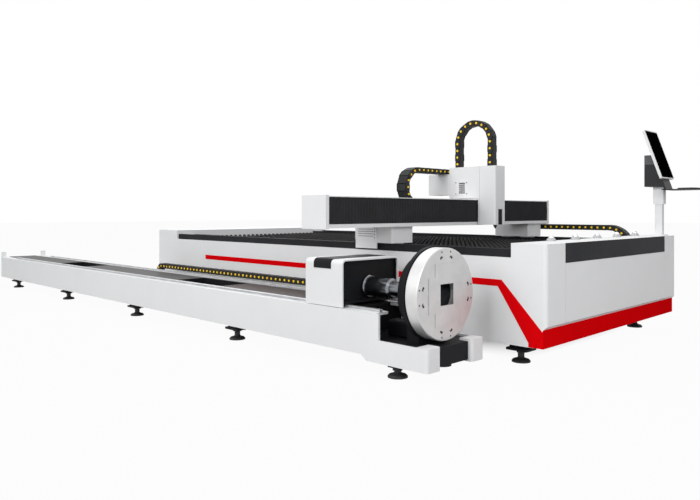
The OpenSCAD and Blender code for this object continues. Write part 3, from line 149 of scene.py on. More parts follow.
def surface(name, light, dark, patch_mm, grain_mm, bump_mm, rough, metallic=0.0, above=None, **shader):
    """Material whose colour drifts from light to dark in patches, with a fine grain in its bump and roughness.

    above, as (colour, low, high), lays a second colour over it that comes in between those two heights.
    """
    if name in bpy.data.materials:
        return bpy.data.materials[name]
    material, tree = blank(name)
    place = add(tree, "ShaderNodeTexCoord").outputs["Object"]
    patch = add(tree, "ShaderNodeTexNoise", Vector=place, Scale=per_metre(patch_mm), Detail=4.0, Roughness=0.6)
    grain = add(tree, "ShaderNodeTexNoise", Vector=place, Scale=per_metre(grain_mm), Detail=2.0)
    tone = add(tree, "ShaderNodeMapRange", Value=patch.outputs["Fac"], From_Min=0.35, From_Max=0.65)
    colour = add(tree, "ShaderNodeMix", {"data_type": "RGBA"}, Factor=tone.outputs["Result"],
                 i6=linear(light), i7=linear(dark))
    if above:
        second, low, high = above
        height = add(tree, "ShaderNodeSeparateXYZ", Vector=place).outputs["Z"]
        share = add(tree, "ShaderNodeMapRange", Value=height, From_Min=low, From_Max=high)
        colour = add(tree, "ShaderNodeMix", {"data_type": "RGBA"}, Factor=share.outputs["Result"],
                     i6=colour.outputs[2], i7=linear(second))
    drift = 0.06
    gloss = add(tree, "ShaderNodeMapRange", Value=grain.outputs["Fac"], To_Min=rough - drift, To_Max=rough + drift)
    bump = add(tree, "ShaderNodeBump", Strength=0.35, Distance=bump_mm / 1000, Height=grain.outputs["Fac"])
    body = add(tree, "ShaderNodeBsdfPrincipled", Base_Color=colour.outputs[2], Metallic=metallic,
               Roughness=gloss.outputs["Result"], Normal=bump.outputs["Normal"], **shader)
    add(tree, "ShaderNodeOutputMaterial", Surface=body.outputs["BSDF"])
    return material


def powder_white(looks):
    """Powder coat on folded sheet: satin white with a faint orange peel, drawn at 6 mm so that it shows."""
    return surface("powder_coat_white", looks.white, looks.white_shade, 420, 6, 0.25, 0.42, Specular_IOR_Level=0.4)


def powder_black(looks):
    """Black powder coat: satin, a little greyer where it is handled."""
    return surface("powder_coat_black", looks.black, "#1f2022", 260, 5, 0.3, 0.5, Specular_IOR_Level=0.08)


def powder_graphite(looks):
    """Graphite powder coat on the guards and the front band: satin, with a slow drift of tone."""
    return surface("powder_coat_graphite", looks.graphite, "#2a2b2d", 300, 5, 0.3, 0.55, Specular_IOR_Level=0.08)


def console_enamel(looks):
    """Two-tone enamel of the console box: black, and graphite above its seam."""
    return surface("console_enamel", looks.black, "#1f2022", 120, 4, 0.2, 0.46,
                   above=("#58595b", CONSOLE_SEAM, CONSOLE_SEAM + SHARP), Specular_IOR_Level=0.3)


def enamel_grey(looks):
    """Grey machine enamel on castings and frames, brushed on, with slow tone changes."""
    return surface("machine_enamel_grey", looks.grey, "#7c8084", 180, 8, 0.4, 0.5)


def enamel_red(looks):
    """Red enamel: even and smooth, with a low sheen."""
    return surface("satin_enamel_red", looks.red, "#d8060e", 500, 7, 0.1, 0.55, Specular_IOR_Level=0.0)


def ground_steel():
    """Ground rail steel: bright, with a fine grain from the grinding wheel, drawn at 4 mm so that it shows."""
    return surface("ground_rail_steel", "#d8d9da", "#c6c8ca", 90, 4, 0.1, 0.4, 0.8)


def turned_steel():
    """Turned steel: rings left by the tool about the tube axis, spaced 9 mm so that they show; satin sheen."""
    name = "turned_steel"
    if name in bpy.data.materials:
        return bpy.data.materials[name]
    material, tree = blank(name)
    place = add(tree, "ShaderNodeTexCoord").outputs["Object"]
    centred = add(tree, "ShaderNodeMapping", Vector=place, Location=(0.0, -AXIS_Y, -AXIS_Z))
    rings = add(tree, "ShaderNodeTexWave", {"wave_type": "RINGS", "rings_direction": "X"},
                Vector=centred.outputs["Vector"], Scale=math.pi / 10 * per_metre(9), Distortion=0.6, Detail=2.0)
    patch = add(tree, "ShaderNodeTexNoise", Vector=place, Scale=per_metre(70), Detail=3.0)
    tone = add(tree, "ShaderNodeMix", {"data_type": "FLOAT"}, Factor=0.35, i2=patch.outputs["Fac"],
               i3=rings.outputs["Fac"])
    colour = add(tree, "ShaderNodeMix", {"data_type": "RGBA"}, Factor=tone.outputs[0],
                 i6=linear("#bebebe"), i7=linear("#e0e0e0"))
    gloss = add(tree, "ShaderNodeMapRange", Value=rings.outputs["Fac"], To_Min=0.36, To_Max=0.46)
    bump = add(tree, "ShaderNodeBump", Strength=0.2, Distance=0.0002, Height=rings.outputs["Fac"])
    body = add(tree, "ShaderNodeBsdfPrincipled", Base_Color=colour.outputs[2], Metallic=0.7,
               Roughness=gloss.outputs["Result"], Normal=bump.outputs["Normal"])
    add(tree, "ShaderNodeOutputMaterial", Surface=body.outputs["BSDF"])
    return material


def burnt_steel():
    """Mild steel slats burnt by the beam: dark oxide in 60 mm patches, and tips painted grey as a painted
    highlight, for the light that the tips catch above the shaded gaps.
    """
    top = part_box("slats")[1][2]
    # the grey laid over the tips' top 14 mm is a painted highlight, standing for the light on the tips
    return surface("burnt_slat_steel", "#111112", "#1c1b1b", 60, 9, 0.8, 0.6, 0.2,
                   above=("#4c4c4d", top - PAINTED_TIP_HIGHLIGHT, top), Specular_IOR_Level=0.25)


def cast_iron():
    """Blackened cast iron of the levelling feet: sand grain about 3 mm across, matt."""
    return surface("blackened_cast_iron", "#1d1e20", "#2b2c2e", 25, 3, 0.5, 0.6, 0.3)


def chain_nylon():
    """Moulded black nylon: matt with a fine spark-eroded grain."""
    return surface("moulded_black_nylon", "#141516", "#1c1d1f", 60, 3, 0.25, 0.55, Specular_IOR_Level=0.3)


def marker_nylon():
    """Yellow nylon plugs in the chain links: bright, semi-matt moulding."""
    return surface("moulded_yellow_nylon", "#ffd60a", "#f4c608", 20, 2, 0.1, 0.45)


def bellows_cloth():
    """Coated polyester of the way bellows: black and dull, with a 4 mm grain in its bump for the weave."""
    return surface("coated_bellows_cloth", "#202122", "#27282a", 120, 4, 0.6, 0.65, Specular_IOR_Level=0.2)


def screen_glass():
    """Etched display glass over a switched-off panel: near black, with its glare held down."""
    return surface("display_glass", "#020203", "#050506", 300, 40, 0.01, 0.4, Specular_IOR_Level=0.0)


def key_plastic():
    """ABS keycaps: dark grey, semi-matt, worn a little smoother in use."""
    return surface("abs_keycaps", "#3a3c40", "#2c2e32", 22, 2, 0.1, 0.45)


def cast_aluminium():
    """Machined aluminium of the head: pale, with soft milling tone changes."""
    return surface("milled_aluminium", "#c6c9cc", "#a5a9ad", 40, 5, 0.2, 0.36, 1.0)


def polished_steel():
    """Hardened and polished spindle steel: dark, smooth and mirror-like, with faint tone changes."""
    return surface("polished_spindle_steel", "#8a8d90", "#82858a", 300, 60, 0.004, 0.2, 1.0)


def deck_paint():
    """Dark walkway paint on the tube bed's deck: brown-grey, satin, scuffed in 150 mm patches."""
    return surface("deck_walkway_paint", "#1d1b1a", "#171514", 150, 4, 0.1, 0.4, Specular_IOR_Level=0.18)


def chrome_ball():
    """Polished bearing ball: mirror bright with slight handling haze."""
    return surface("polished_bearing_ball", "#e4e5e7", "#d6d8db", 18, 3, 0.01, 0.34, 1.0)


def zinc_cup():
    """Zinc-plated pressing of the ball units: soft grey with a dull sheen."""
    return surface("zinc_plated_cup", "#b9bbbd", "#a8aaad", 20, 3, 0.05, 0.45, 0.3)


def black_oxide():
    """Black oxide socket screws: dark, faintly oily sheen."""
    return surface("black_oxide_steel", "#242528", "#303236", 15, 2, 0.05, 0.4, 0.8)


# Surfaces: each is (vertices, quads, triangles)


def loft(rings):
    """Rings of points (rows, points, 3) joined row to row and closed at both ends by a fan round each middle."""
    rows, points = rings.shape[:2]
    ends = np.stack([rings[0].mean(0), rings[-1].mean(0)])
    verts = np.concatenate([rings.reshape(-1, 3), ends])
    row = np.arange(rows - 1)[:, None] * points
    here = np.arange(points)[None, :]
    after = (here + 1) % points
    quads = np.stack([row + here, row + after, row + points + after, row + points + here], -1).reshape(-1, 4)
    first, last, base = rows * points, rows * points + 1, (rows - 1) * points
    start = np.stack([np.full(points, first), after[0], here[0]], -1)
    stop = np.stack([np.full(points, last), base + here[0], base + after[0]], -1)
    return verts, quads, np.concatenate([start, stop])


def prism(outline, low, high):
    """Flat outline (points, 2) carried from low to high along the third axis."""
    ring = np.column_stack([outline, np.zeros(len(outline))])
    return loft(np.stack([ring + [0, 0, low], ring + [0, 0, high]]))


def ribbon(front, back, across, flip=False):
    """Closed strip between two lines of points (points, 3), carried across by one vector: four corners a point."""
    corners = [front + across, front, back, back + across]
    return loft(np.stack(corners[::-1] if flip else corners, 1))


def lathe(profile, count):
    """Profile of (radius, height) rows turned about the third axis in count steps."""
    profile = np.asarray(profile, float)
    angle = np.linspace(0, 2 * np.pi, count, endpoint=False)
    radius, height = profile[:, :1], profile[:, 1:]
    return loft(np.stack([radius * np.cos(angle), radius * np.sin(angle), height + 0 * angle], -1))


def sleeve(radius, thick, low, high, count):
    """Open tube about the third axis: four corners of its wall carried round in count steps."""
    angle = np.linspace(0, 2 * np.pi, count, endpoint=False)[:, None]
    r = np.array([radius, radius, radius - thick, radius - thick])
    verts = np.stack([r * np.cos(angle), r * np.sin(angle), np.array([low, high, high, low]) + 0 * angle], -1)
    here = np.arange(count)[:, None] * 4
    after = (here + 4) % (count * 4)
    side = np.arange(4)[None, :]
    turn = (side + 1) % 4
    quads = np.stack([here + side, after + side, after + turn, here + turn], -1).reshape(-1, 4)
    return verts.reshape(-1, 3), quads, np.zeros((0, 3), int)


def merge(*parts):
    """Several parts as one, their vertices numbered on."""
    offset = np.cumsum([0] + [len(p[0]) for p in parts[:-1]])
    verts = np.concatenate([p[0] for p in parts])
    quads = np.concatenate([p[1] + o for p, o in zip(parts, offset)])
    tris = np.concatenate([p[2] + o for p, o in zip(parts, offset)])
    return verts, quads, tris


def repeat(part, places, turns):
    """Copies of a part: turns (copies, 3, 3) rotate it and places (copies, 3) move it."""
    verts, quads, tris = part
    moved = np.einsum("nij,vj->nvi", turns, verts) + places[:, None]
    shift = (np.arange(len(places)) * len(verts))[:, None, None]
    return moved.reshape(-1, 3), (quads + shift).reshape(-1, 4), (tris + shift).reshape(-1, 3)


def piece(name, part, materials, second=None):
    """New object from arrays; the faces of a second part take the second material."""
    verts, quads, tris = part if second is None else merge(part, second)
    mesh = bpy.data.meshes.new(name)
    mesh.from_pydata(verts.tolist(), [], quads.tolist() + tris.tolist())
    if second is not None:
        counts = [len(part[1]), len(second[1]), len(part[2]), len(second[2])]
        mesh.polygons.foreach_set("material_index", np.repeat([0, 1, 0, 1], counts).astype(np.int32))
    for material in materials:
        mesh.materials.append(material)
    mesh.update()
    obj = bpy.data.objects.new(name, mesh)
    bpy.context.scene.collection.objects.link(obj)
    return obj


def turn_to(axis, count=1):
    """Rotation that carries the third axis to the given direction, repeated."""
    z = np.asarray(axis, float) / np.linalg.norm(axis)
    x = np.cross([0, 0, 1.0], z) if abs(z[2]) < 0.9 else np.array([1.0, 0, 0])
    x = x / np.linalg.norm(x)
    return np.repeat(np.stack([x, np.cross(z, x), z], -1)[None], count, 0)


def screw(radius):
    """Button head with a socket: a domed profile turned about its axis, with a sunk flat in the middle."""
    profile = [(1, -0.1), (1, 0.1), (0.85, 0.45), (0.5, 0.6), (0.42, 0.6), (0.38, 0.2)]
    return lathe(np.array(profile) * radius, 12)


# Motion spans: worked out, while the pieces are only baked in place


def blend_along(obj, axis, first, length):
    """Bakes a piece's placement into its mesh; the start and end of a span along one axis are worked out from
    first and length, and nothing uses them.
    """
    start, end = [0.0] * 3, [0.0] * 3
    start[axis] = first
    end[axis] = start[axis] + length
    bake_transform(obj)


def inverse_step(w):
    """t at which t * t * (3 - 2 * t) equals w."""
    return 0.5 - math.sin(math.asin(1 - 2 * w) / 3)


def follow(obj, still, moving, axis, here, there, w_here, w_there):
    """Works out the span along an axis over which a piece's share of the motion would run from w_here to w_there,
    and hands it to blend_along, which only bakes the piece in place.
    """
    t0, t1 = inverse_step(w_here), inverse_step(w_there)
    length = (there - here) / (t1 - t0)
    blend_along(obj, axis, here - t0 * length, length)


# Cable chains: a plan is (link pitch, moving run, bend radius, link height, chain width)


def stadium(length, height, count=8):
    """Plate outline with round ends: two half circles of half the height, their middles one length apart."""
    angle = np.linspace(-np.pi / 2, np.pi / 2, count)
    right = np.column_stack([length / 2 + height / 2 * np.cos(angle), height / 2 * np.sin(angle)])
    return np.concatenate([right, -right])


def link_parts(pitch, height, width, inner):
    """One link: two side plates and two cross bars, and a round plug on each side.

    The plates of inner links sit one plate further in.
    """
    edge = width / 2 - (PLATE if inner else 0)
    outline = stadium(pitch * PLATE_LENGTH, height)
    plates = [prism(outline, edge - PLATE, edge), prism(outline, -edge, -edge + PLATE)]
    across = width / 2 - BAR_INSET
    reach, outside = (0.56, -0.48) if inner else (0.5, -0.5)
    bar = [[-reach, outside], [reach, outside], [reach, BAR_INSIDE], [-reach, BAR_INSIDE]]
    bar = np.array(bar) * [pitch, height]
    bars = [prism(bar, -across, across), prism(-bar, -across, across)]
    wide, narrow = height * 0.2, height * 0.14
    verts, quads, tris = lathe([(wide, -0.009), (wide, 0.0012), (narrow, 0.002)], 14)
    side = [0, 0, width / 2]
    plugs = [(verts + side, quads, tris), (verts * [1, -1, -1] - side, quads, tris)]
    return merge(*plates, *bars), merge(*plugs)


def chain_route(s, run, radius):
    """Place (u, v) and turn at arc length s: a straight run, a half circle, and a straight run back."""
    a = np.clip((s - run) / (np.pi * radius), 0, 1) * np.pi
    along = np.where(s < run, run - s, np.maximum(s - run - np.pi * radius, 0))
    return np.column_stack([along - radius * np.sin(a), radius * np.cos(a)]), a


def chain_links(name, chosen, plan, middle, axes):
    """One object of a chain's chosen link numbers; axes are the columns u, v and w in the machine's frame."""
    pitch, run, radius, height, width = plan
    bodies, plugs = [], []
    for inner in (False, True):
        mine = chosen[(chosen % 2 == 1) == inner]
        if not len(mine):
            continue
        place, a = chain_route((mine + 0.5) * pitch, run, radius)
        spin = np.zeros((len(mine), 3, 3))
        spin[:, 0, 0] = spin[:, 1, 1] = np.cos(a)
        spin[:, 1, 0], spin[:, 0, 1] = np.sin(a), -np.sin(a)
        spin[:, 2, 2] = 1
        where = np.column_stack([place, np.zeros(len(mine))]) @ axes.T + middle
        body, plug = link_parts(pitch, height, width, inner)
        bodies.append(repeat(body, where, axes @ spin))
        plugs.append(repeat(plug, where, axes @ spin))
    return piece(name, merge(*bodies), [chain_nylon(), marker_nylon()], merge(*plugs))


def running_chain(node, plan, rest, middle, axes, still, moving, axis, loop_share, cuts=4):
    """A chain with one moving end and, after a fixed run of length rest, one fixed end.

    The links are cut into the loop and a few cuts of each run; each cut's share of the motion is worked out,
    loop_share for the loop and what is left spread over the runs, and each cut is only baked in place.
    """
    pitch, run, radius = plan[:3]
    bend = math.pi * radius
    number = np.arange(int((run + bend + rest) / pitch))
    s = (number + 0.5) * pitch
    back = s - run - bend
    groups = [("loop", (s >= run) & (s < run + bend), None, None)]
    for i in range(cuts):
        a, b = i / cuts, (i + 1) / cuts
        upper = (s >= run * a) & (s < run * b)
        lower = (back >= rest * a) & (back < rest * b)
        groups += [
            (f"upper_{i}", upper, (run * (1 - a), run * (1 - b)),
             (1 - (1 - loop_share) * a, 1 - (1 - loop_share) * b)),
            (f"lower_{i}", lower, (rest * a, rest * b), (loop_share * (1 - a), loop_share * (1 - b))),
        ]
    for label, chosen, ends, shares in groups:
        if not chosen.any():
            continue
        obj = chain_links(f"{node}_{label}", number[chosen], plan, middle, axes)
        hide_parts(node)
        if label == "loop":
            blend_along(obj, axis, middle[axis] - inverse_step(loop_share) * LOOP_SPAN, LOOP_SPAN)
        else:
            here, there = (middle[axis] + axes[axis, 0] * end for end in ends)
            follow(obj, still, moving, axis, here, there, *shares)


# Settings


class LaserCutterLooks(bpy.types.PropertyGroup):
    """Sizes and colours of the machine's looks."""

    white: bpy.props.StringProperty(
        name="White", description="Powder coat on the covers", default="#e9eaeb")
    white_shade: bpy.props.StringProperty(
        name="White shade", description="Powder coat's slow drift", default="#e6e7e8")
    black: bpy.props.StringProperty(
        name="Black", description="Black powder coat", default="#17181a")
    graphite: bpy.props.StringProperty(
        name="Graphite", description="Guards and front band", default="#232426")
    grey: bpy.props.StringProperty(
        name="Grey", description="Machine enamel", default="#8b8f93")
    red: bpy.props.StringProperty(
        name="Red", description="Plinth and side stripe", default="#e4050c")
    link_pitch: bpy.props.FloatProperty(
        name="Link pitch", description="Distance between chain links", default=0.060, unit="LENGTH")
    pleat_pitch: bpy.props.FloatProperty(
        name="Pleat pitch", description="Distance between bellows pleats", default=0.030, unit="LENGTH")
    slat_tooth_pitch: bpy.props.FloatProperty(
        name="Slat tooth pitch", description="Distance between a slat's teeth", default=0.0625, unit="LENGTH")
    screw_radius: bpy.props.FloatProperty(
        name="Screw radius", description="Head of the cover screws", default=0.007, unit="LENGTH")
    tooth_pitch: bpy.props.FloatProperty(
        name="Rack tooth pitch", description="Distance between rack teeth", default=0.0157, unit="LENGTH")


# Pieces


class LASER_OT_stage(bpy.types.Operator):
    """Camera at the photograph's angle, soft studio lights and a pale floor"""

    bl_idname = "laser.stage"
    bl_label = "Stage"

    def execute(self, context):
        scene = context.scene
        scene.view_settings.view_transform = "Standard"
        camera = self.stand(scene, "camera", bpy.data.cameras.new("camera"), CAMERA_PLACE, CAMERA_AIM)
        camera.data.lens = CAMERA_LENS
        camera.data.shift_y = CAMERA_SHIFT
        camera.data.clip_end = CAMERA_REACH
        scene.camera = camera
        world = bpy.data.worlds.new("studio")
        world.use_nodes = True
        tree = world.node_tree
        tree.nodes.clear()
        glow = add(tree, "ShaderNodeMix", {"data_type": "FLOAT"}, Factor=shows_background(tree),
                   i2=WORLD_LIGHT, i3=WORLD_SEEN)
        light = add(tree, "ShaderNodeBackground", Color=WHITE, Strength=glow.outputs[0])
        add(tree, "ShaderNodeOutputWorld", Surface=light.outputs[0])
        scene.world = world
        for name, place, target, size, watts in LAMPS:
            lamp = bpy.data.lights.new(name, "AREA")
            lamp.size, lamp.energy = size, watts
            self.stand(scene, name, lamp, place, Vector(target) - Vector(place))
        steps = np.linspace(-FLOOR_REACH, FLOOR_REACH, FLOOR_LINES)
        x, y = np.meshgrid(steps, steps, indexing="ij")
        verts = np.stack([x, y, 0 * x], -1).reshape(-1, 3)
        here = np.arange(FLOOR_LINES - 1)
        corner = (here[:, None] * FLOOR_LINES + here).reshape(-1)
        quads = np.stack([corner, corner + FLOOR_LINES, corner + FLOOR_LINES + 1, corner + 1], -1)
        floor = piece("studio_floor", (verts, quads, np.zeros((0, 3), int)), [self.floor_paint()])
        return {"FINISHED"}

    def stand(self, scene, name, data, place, aim):
        """Camera or lamp at a place, looking along a direction."""
        obj = bpy.data.objects.new(name, data)
        obj.location = place
        obj.rotation_euler = Vector(aim).to_track_quat("-Z", "Y").to_euler()
        scene.collection.objects.link(obj)
        return obj

    def floor_paint(self):
        """White studio floor: a matt coat that shows as white and keeps a soft shadow; over the slats' box the
        white is faded out as a painted shadow, so that the coat's own shade shows there, deepest under the slats.
        """
        material, tree = blank("studio_floor_paint")
        low, high = (np.array(corner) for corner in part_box("slats"))
        half = (high - low) / 2
        place = add(tree, "ShaderNodeTexCoord").outputs["Object"]
        middle = add(tree, "ShaderNodeVectorMath", {"operation": "SUBTRACT"}, i0=place, i1=tuple((low + high) / 2))
        away = add(tree, "ShaderNodeVectorMath", {"operation": "ABSOLUTE"}, i0=middle.outputs[0])
        side = add(tree, "ShaderNodeSeparateXYZ", Vector=away.outputs[0])
        inside, outside = FLOOR_FADE
        # painted shadow: the white share falls over the slats' box by place alone, and the real shade of the matt
        # coat shows through it
        under = [add(tree, "ShaderNodeMapRange", Value=side.outputs[i], From_Min=half[i] + inside,
                     From_Max=half[i] + outside, To_Min=1.0, To_Max=0.0).outputs["Result"] for i in (0, 1)]
        shade = add(tree, "ShaderNodeMath", {"operation": "MULTIPLY"}, i0=under[0], i1=under[1])
        glow = add(tree, "ShaderNodeMapRange", Value=shade.outputs[0], To_Min=FLOOR_WHITE,
                   To_Max=FLOOR_WHITE_UNDER_SLATS)
        matt = add(tree, "ShaderNodeBsdfDiffuse", Color=linear("#9e9e9e"))
        white = add(tree, "ShaderNodeEmission", Color=WHITE, Strength=1.0)
        share = add(tree, "ShaderNodeMath", {"operation": "MULTIPLY"}, i0=shows_background(tree),
                    i1=glow.outputs["Result"])
        both = add(tree, "ShaderNodeMixShader", i0=share.outputs[0], i1=matt.outputs[0], i2=white.outputs[0])
        add(tree, "ShaderNodeOutputMaterial", Surface=both.outputs[0])
        return material


class LASER_OT_finishes(bpy.types.Operator):
    """Finish of every solid"""

    bl_idname = "laser.finishes"
    bl_label = "Finishes"

    def execute(self, context):
        looks = context.scene.laser_looks
        own = {
            "front_band": powder_graphite(looks), "rail_guards": powder_graphite(looks),
            "console_box": console_enamel(looks), "ball_cups": zinc_cup(), "chuck_body": turned_steel(),
            "jaw_top": turned_steel(), "jaw_bottom": turned_steel(), "jaw_near": turned_steel(),
            "jaw_far": turned_steel(),
        }
        by_slot = {
            "white_paint": powder_white(looks), "dark_paint": powder_black(looks),
            "grey_paint": enamel_grey(looks), "red_paint": enamel_red(looks),
            "machined_steel": ground_steel(), "slat_steel": burnt_steel(), "foot_iron": cast_iron(),
            "ball_chrome": chrome_ball(), "chain_plastic": chain_nylon(), "bellows_cloth": bellows_cloth(),
            "screen_glass": screen_glass(), "key_plastic": key_plastic(), "cast_aluminium": cast_aluminium(),
            "black_oxide": black_oxide(), "deck_paint": deck_paint(), "polished_steel": polished_steel(),
        }
        for row in frame["record"]["subparts"]:
            node = frame["nodes"][row["node"]]
            node.data.materials.clear()
            node.data.materials.append(own.get(row["node"], by_slot[row["material_slot"]]))
        return {"FINISHED"}


class LASER_OT_chains(bpy.types.Operator):
    """Linked cable chains of the gantry, the head, the lift and the tube carriage"""

    bl_idname = "laser.chains"
    bl_label = "Cable Chains"

    def execute(self, context):
        pitch = context.scene.laser_looks.link_pitch
        along_x = np.array([[1.0, 0, 0], [0, 0, -1.0], [0, 1.0, 0]])
        back_x = np.array([[-1.0, 0, 0], [0, 0, 1.0], [0, 1.0, 0]])
        along_y = np.array([[0, 0, 1.0], [1.0, 0, 0], [0, 1.0, 0]])
        hanging = np.array([[0, 1.0, 0], [0, 0, -1.0], [-1.0, 0, 0]])
        running_chain("gantry_chain", (pitch, 0.73, 0.18905, 0.050, 0.090), 1.86,
                      np.array([3.160, 1.5175, 0.66595]), back_x, "bed", "gantry", 0, 0.5)
        running_chain("tube_chain", (pitch, 3.04, 0.06455, 0.050, 0.075), 1.64,
                      np.array([-0.636, -1.0125, 0.35845]), along_x, "bed", "carriage", 0, 0.5)
        running_chain("head_chain", (pitch, 0.511, 0.15100, 0.044, 0.110), 0.60,
                      np.array([2.175, -0.171, 1.21490]), along_y, "gantry", "head", 1, 0.76)
        count, radius, cover_top = 16, 0.170, 1.4009
        leg = (count * pitch - math.pi * radius) / 2
        plan = (pitch, leg, radius, 0.050, 0.073)
        sunk = 2  # links below the cover's top, so that the leg still reaches into it when the lift is up
        lift = chain_links("lift_chain_links", np.arange(-sunk, count), plan,
                           np.array([2.490, 0.290, cover_top + leg]), hanging)
        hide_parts("lift_chain")
        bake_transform(lift)
        return {"FINISHED"}


class LASER_OT_bellows(bpy.types.Operator):
    """Folded way bellows on both sides of the head"""

    bl_idname = "laser.bellows"
    bl_label = "Bellows"

    def execute(self, context):
        pitch = context.scene.laser_looks.pleat_pitch
        low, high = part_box("bellows")
        head_near, head_far = 0.285, 0.335
        cuts = 5
        for side, fixed, moving in (("near", low[1], head_near), ("far", high[1], head_far)):
            for i in range(cuts):
                a, b = (fixed + (moving - fixed) * (i + k) / cuts for k in (0, 1))
                sheet = self.folds(min(a, b), max(a, b), low, high, pitch)
                obj = piece(f"bellows_{side}_{i}", sheet, [bellows_cloth()])
                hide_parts("bellows")
                follow(obj, "gantry", "head", 1, a, b, i / cuts, (i + 1) / cuts)
        return {"FINISHED"}

    def folds(self, y0, y1, low, high, pitch):
        """Pleats along Y: the cloth's front follows a softened triangle wave, and its back lies behind it."""
        thick, inside = 0.002, 0.001
        count = max(1, round((y1 - y0) / pitch))
        y = np.linspace(y0, y1, count * 8 + 1)
        wave = np.abs(((y - y0) / (y1 - y0) * count) % 1 - 0.5) * 2
        wave = 0.65 * wave + 0.35 * wave * wave * (3 - 2 * wave)
        x = high[0] - inside - (high[0] - low[0] - thick - inside) * (1 - wave)
        front = np.column_stack([x, y, np.full(len(y), low[2] + inside)])
        return ribbon(front, front - [thick, 0, 0], [0, 0, high[2] - low[2] - 2 * inside])


class LASER_OT_slats(bpy.types.Operator):
    """Support slats with flat-topped teeth across the cutting bed"""

    bl_idname = "laser.slats"
    bl_label = "Slats"

    def execute(self, context):
        pitch = context.scene.laser_looks.slat_tooth_pitch
        low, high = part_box("slats")
        thick, spacing = 0.006, 0.090
        root, tip = 0.024, 0.001  # below the solid's top
        count = round((high[0] - thick - low[0]) / spacing) + 1
        teeth = round((high[1] - low[1]) / pitch)
        share = np.array([0.0, 0.4, 0.5, 0.9])
        y = low[1] + (np.arange(teeth)[:, None] + share).reshape(-1) / teeth * (high[1] - low[1])
        y = np.append(y, high[1])
        z = high[2] - np.append(np.tile([root, root, tip, tip], teeth), root)
        top = np.column_stack([np.zeros(len(y)), y, z])
        slat = ribbon(top, top * [1, 1, 0] + [0, 0, low[2]], [thick, 0, 0])
        places = np.column_stack([low[0] + spacing * np.arange(count), np.zeros(count), np.zeros(count)])
        slats = repeat(slat, places, np.repeat(np.eye(3)[None], count, 0))
        obj = piece("toothed_slats", slats, [burnt_steel()])
        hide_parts("slats")
        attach(obj, "bed")
        return {"FINISHED"}


class LASER_OT_vents(bpy.types.Operator):
    """Grey strips set into the saddle covers' louvres as painted shade, standing for the shadow in the slots, and
    the pleated curtain in the head's slot
    """

    bl_idname = "laser.vents"
    bl_label = "Vents"

    def execute(self, context):
        low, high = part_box("saddle_covers")
        x0, x1 = low[0] + 0.031, low[0] + 0.194
        lowest, spacing, opening, count = 0.811, 0.018, 0.005, 4
        shallow, deep = 0.0035, 0.005  # behind the cover's face
        strips = []
        # the grey strips in the slots are painted shade, standing for the shadow inside the louvres
        for z in lowest + spacing * np.arange(count):
            outline = np.array([[x0, z], [x0, z + opening], [x1, z + opening], [x1, z]])
            strips += [prism(outline, low[1] + shallow, low[1] + deep),
                       prism(outline, high[1] - deep, high[1] - shallow)]
        verts, quads, tris = merge(*strips)
        obj = piece("louvre_painted_shade", (verts[:, [0, 2, 1]], quads, tris), [enamel_grey(context.scene.laser_looks)])
        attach(obj, "gantry")
        obj = piece("head_slot_curtain", self.curtain(), [bellows_cloth()])
        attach(obj, "head")
        return {"FINISHED"}

    def curtain(self):
        """Cloth whose front follows a triangle wave across the slot, with its back a little behind."""
        low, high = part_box("head_front_cover")
        middle = (low[1] + high[1]) / 2
        half, tall, fold_depth, thick, inside = 0.0325, 0.132, 0.0045, 0.0018, 0.001
        pleats, points = 6, 49
        y = np.linspace(middle - half, middle + half, points)
        fold = np.abs((np.linspace(0, pleats, points) % 1) - 0.5) * 2
        front = np.column_stack([high[0] - inside - fold_depth * fold, y, np.full(points, low[2] + inside)])
        return ribbon(front, front - [thick, 0, 0], [0, 0, tall])


class LASER_OT_racks(bpy.types.Operator):
    """Toothed drive racks beside the guide rails"""

    bl_idname = "laser.racks"
    bl_label = "Drive Racks"

    def execute(self, context):
        pitch = context.scene.laser_looks.tooth_pitch
        low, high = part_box("drive_racks")
        width, near_y = 0.024, -0.660
        bed_x, bed_z = (-0.639, 3.491), (0.690, 0.714)
        tube_x, tube_z = (low[0], 3.054), (0.377, 0.389)
        parts = [self.rack(*bed_x, y, width, *bed_z, pitch) for y in (high[1] - width, near_y)]
        parts.append(self.rack(*tube_x, low[1], width, *tube_z, pitch))
        obj = piece("toothed_racks", merge(*parts), [ground_steel()])
        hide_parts("drive_racks")
        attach(obj, "bed")
        return {"FINISHED"}

    def rack(self, x0, x1, y, width, z0, z1, pitch):
        """Bar whose top follows trapezoid teeth along X: four points to a tooth, root, root, tip and tip."""
        root = z1 - 0.007
        count = int((x1 - x0) / pitch)
        share = np.array([0.0, 0.28, 0.5, 0.78])
        x = (x0 + (np.arange(count)[:, None] + share) * (x1 - x0) / count).reshape(-1)
        z = np.tile([root, root, z1, z1], count)
        top = np.column_stack([x, np.full(len(x), y + width), z])
        return ribbon(top, top * [1, 1, 0] + [0, 0, z0], [0, -width, 0], flip=True)


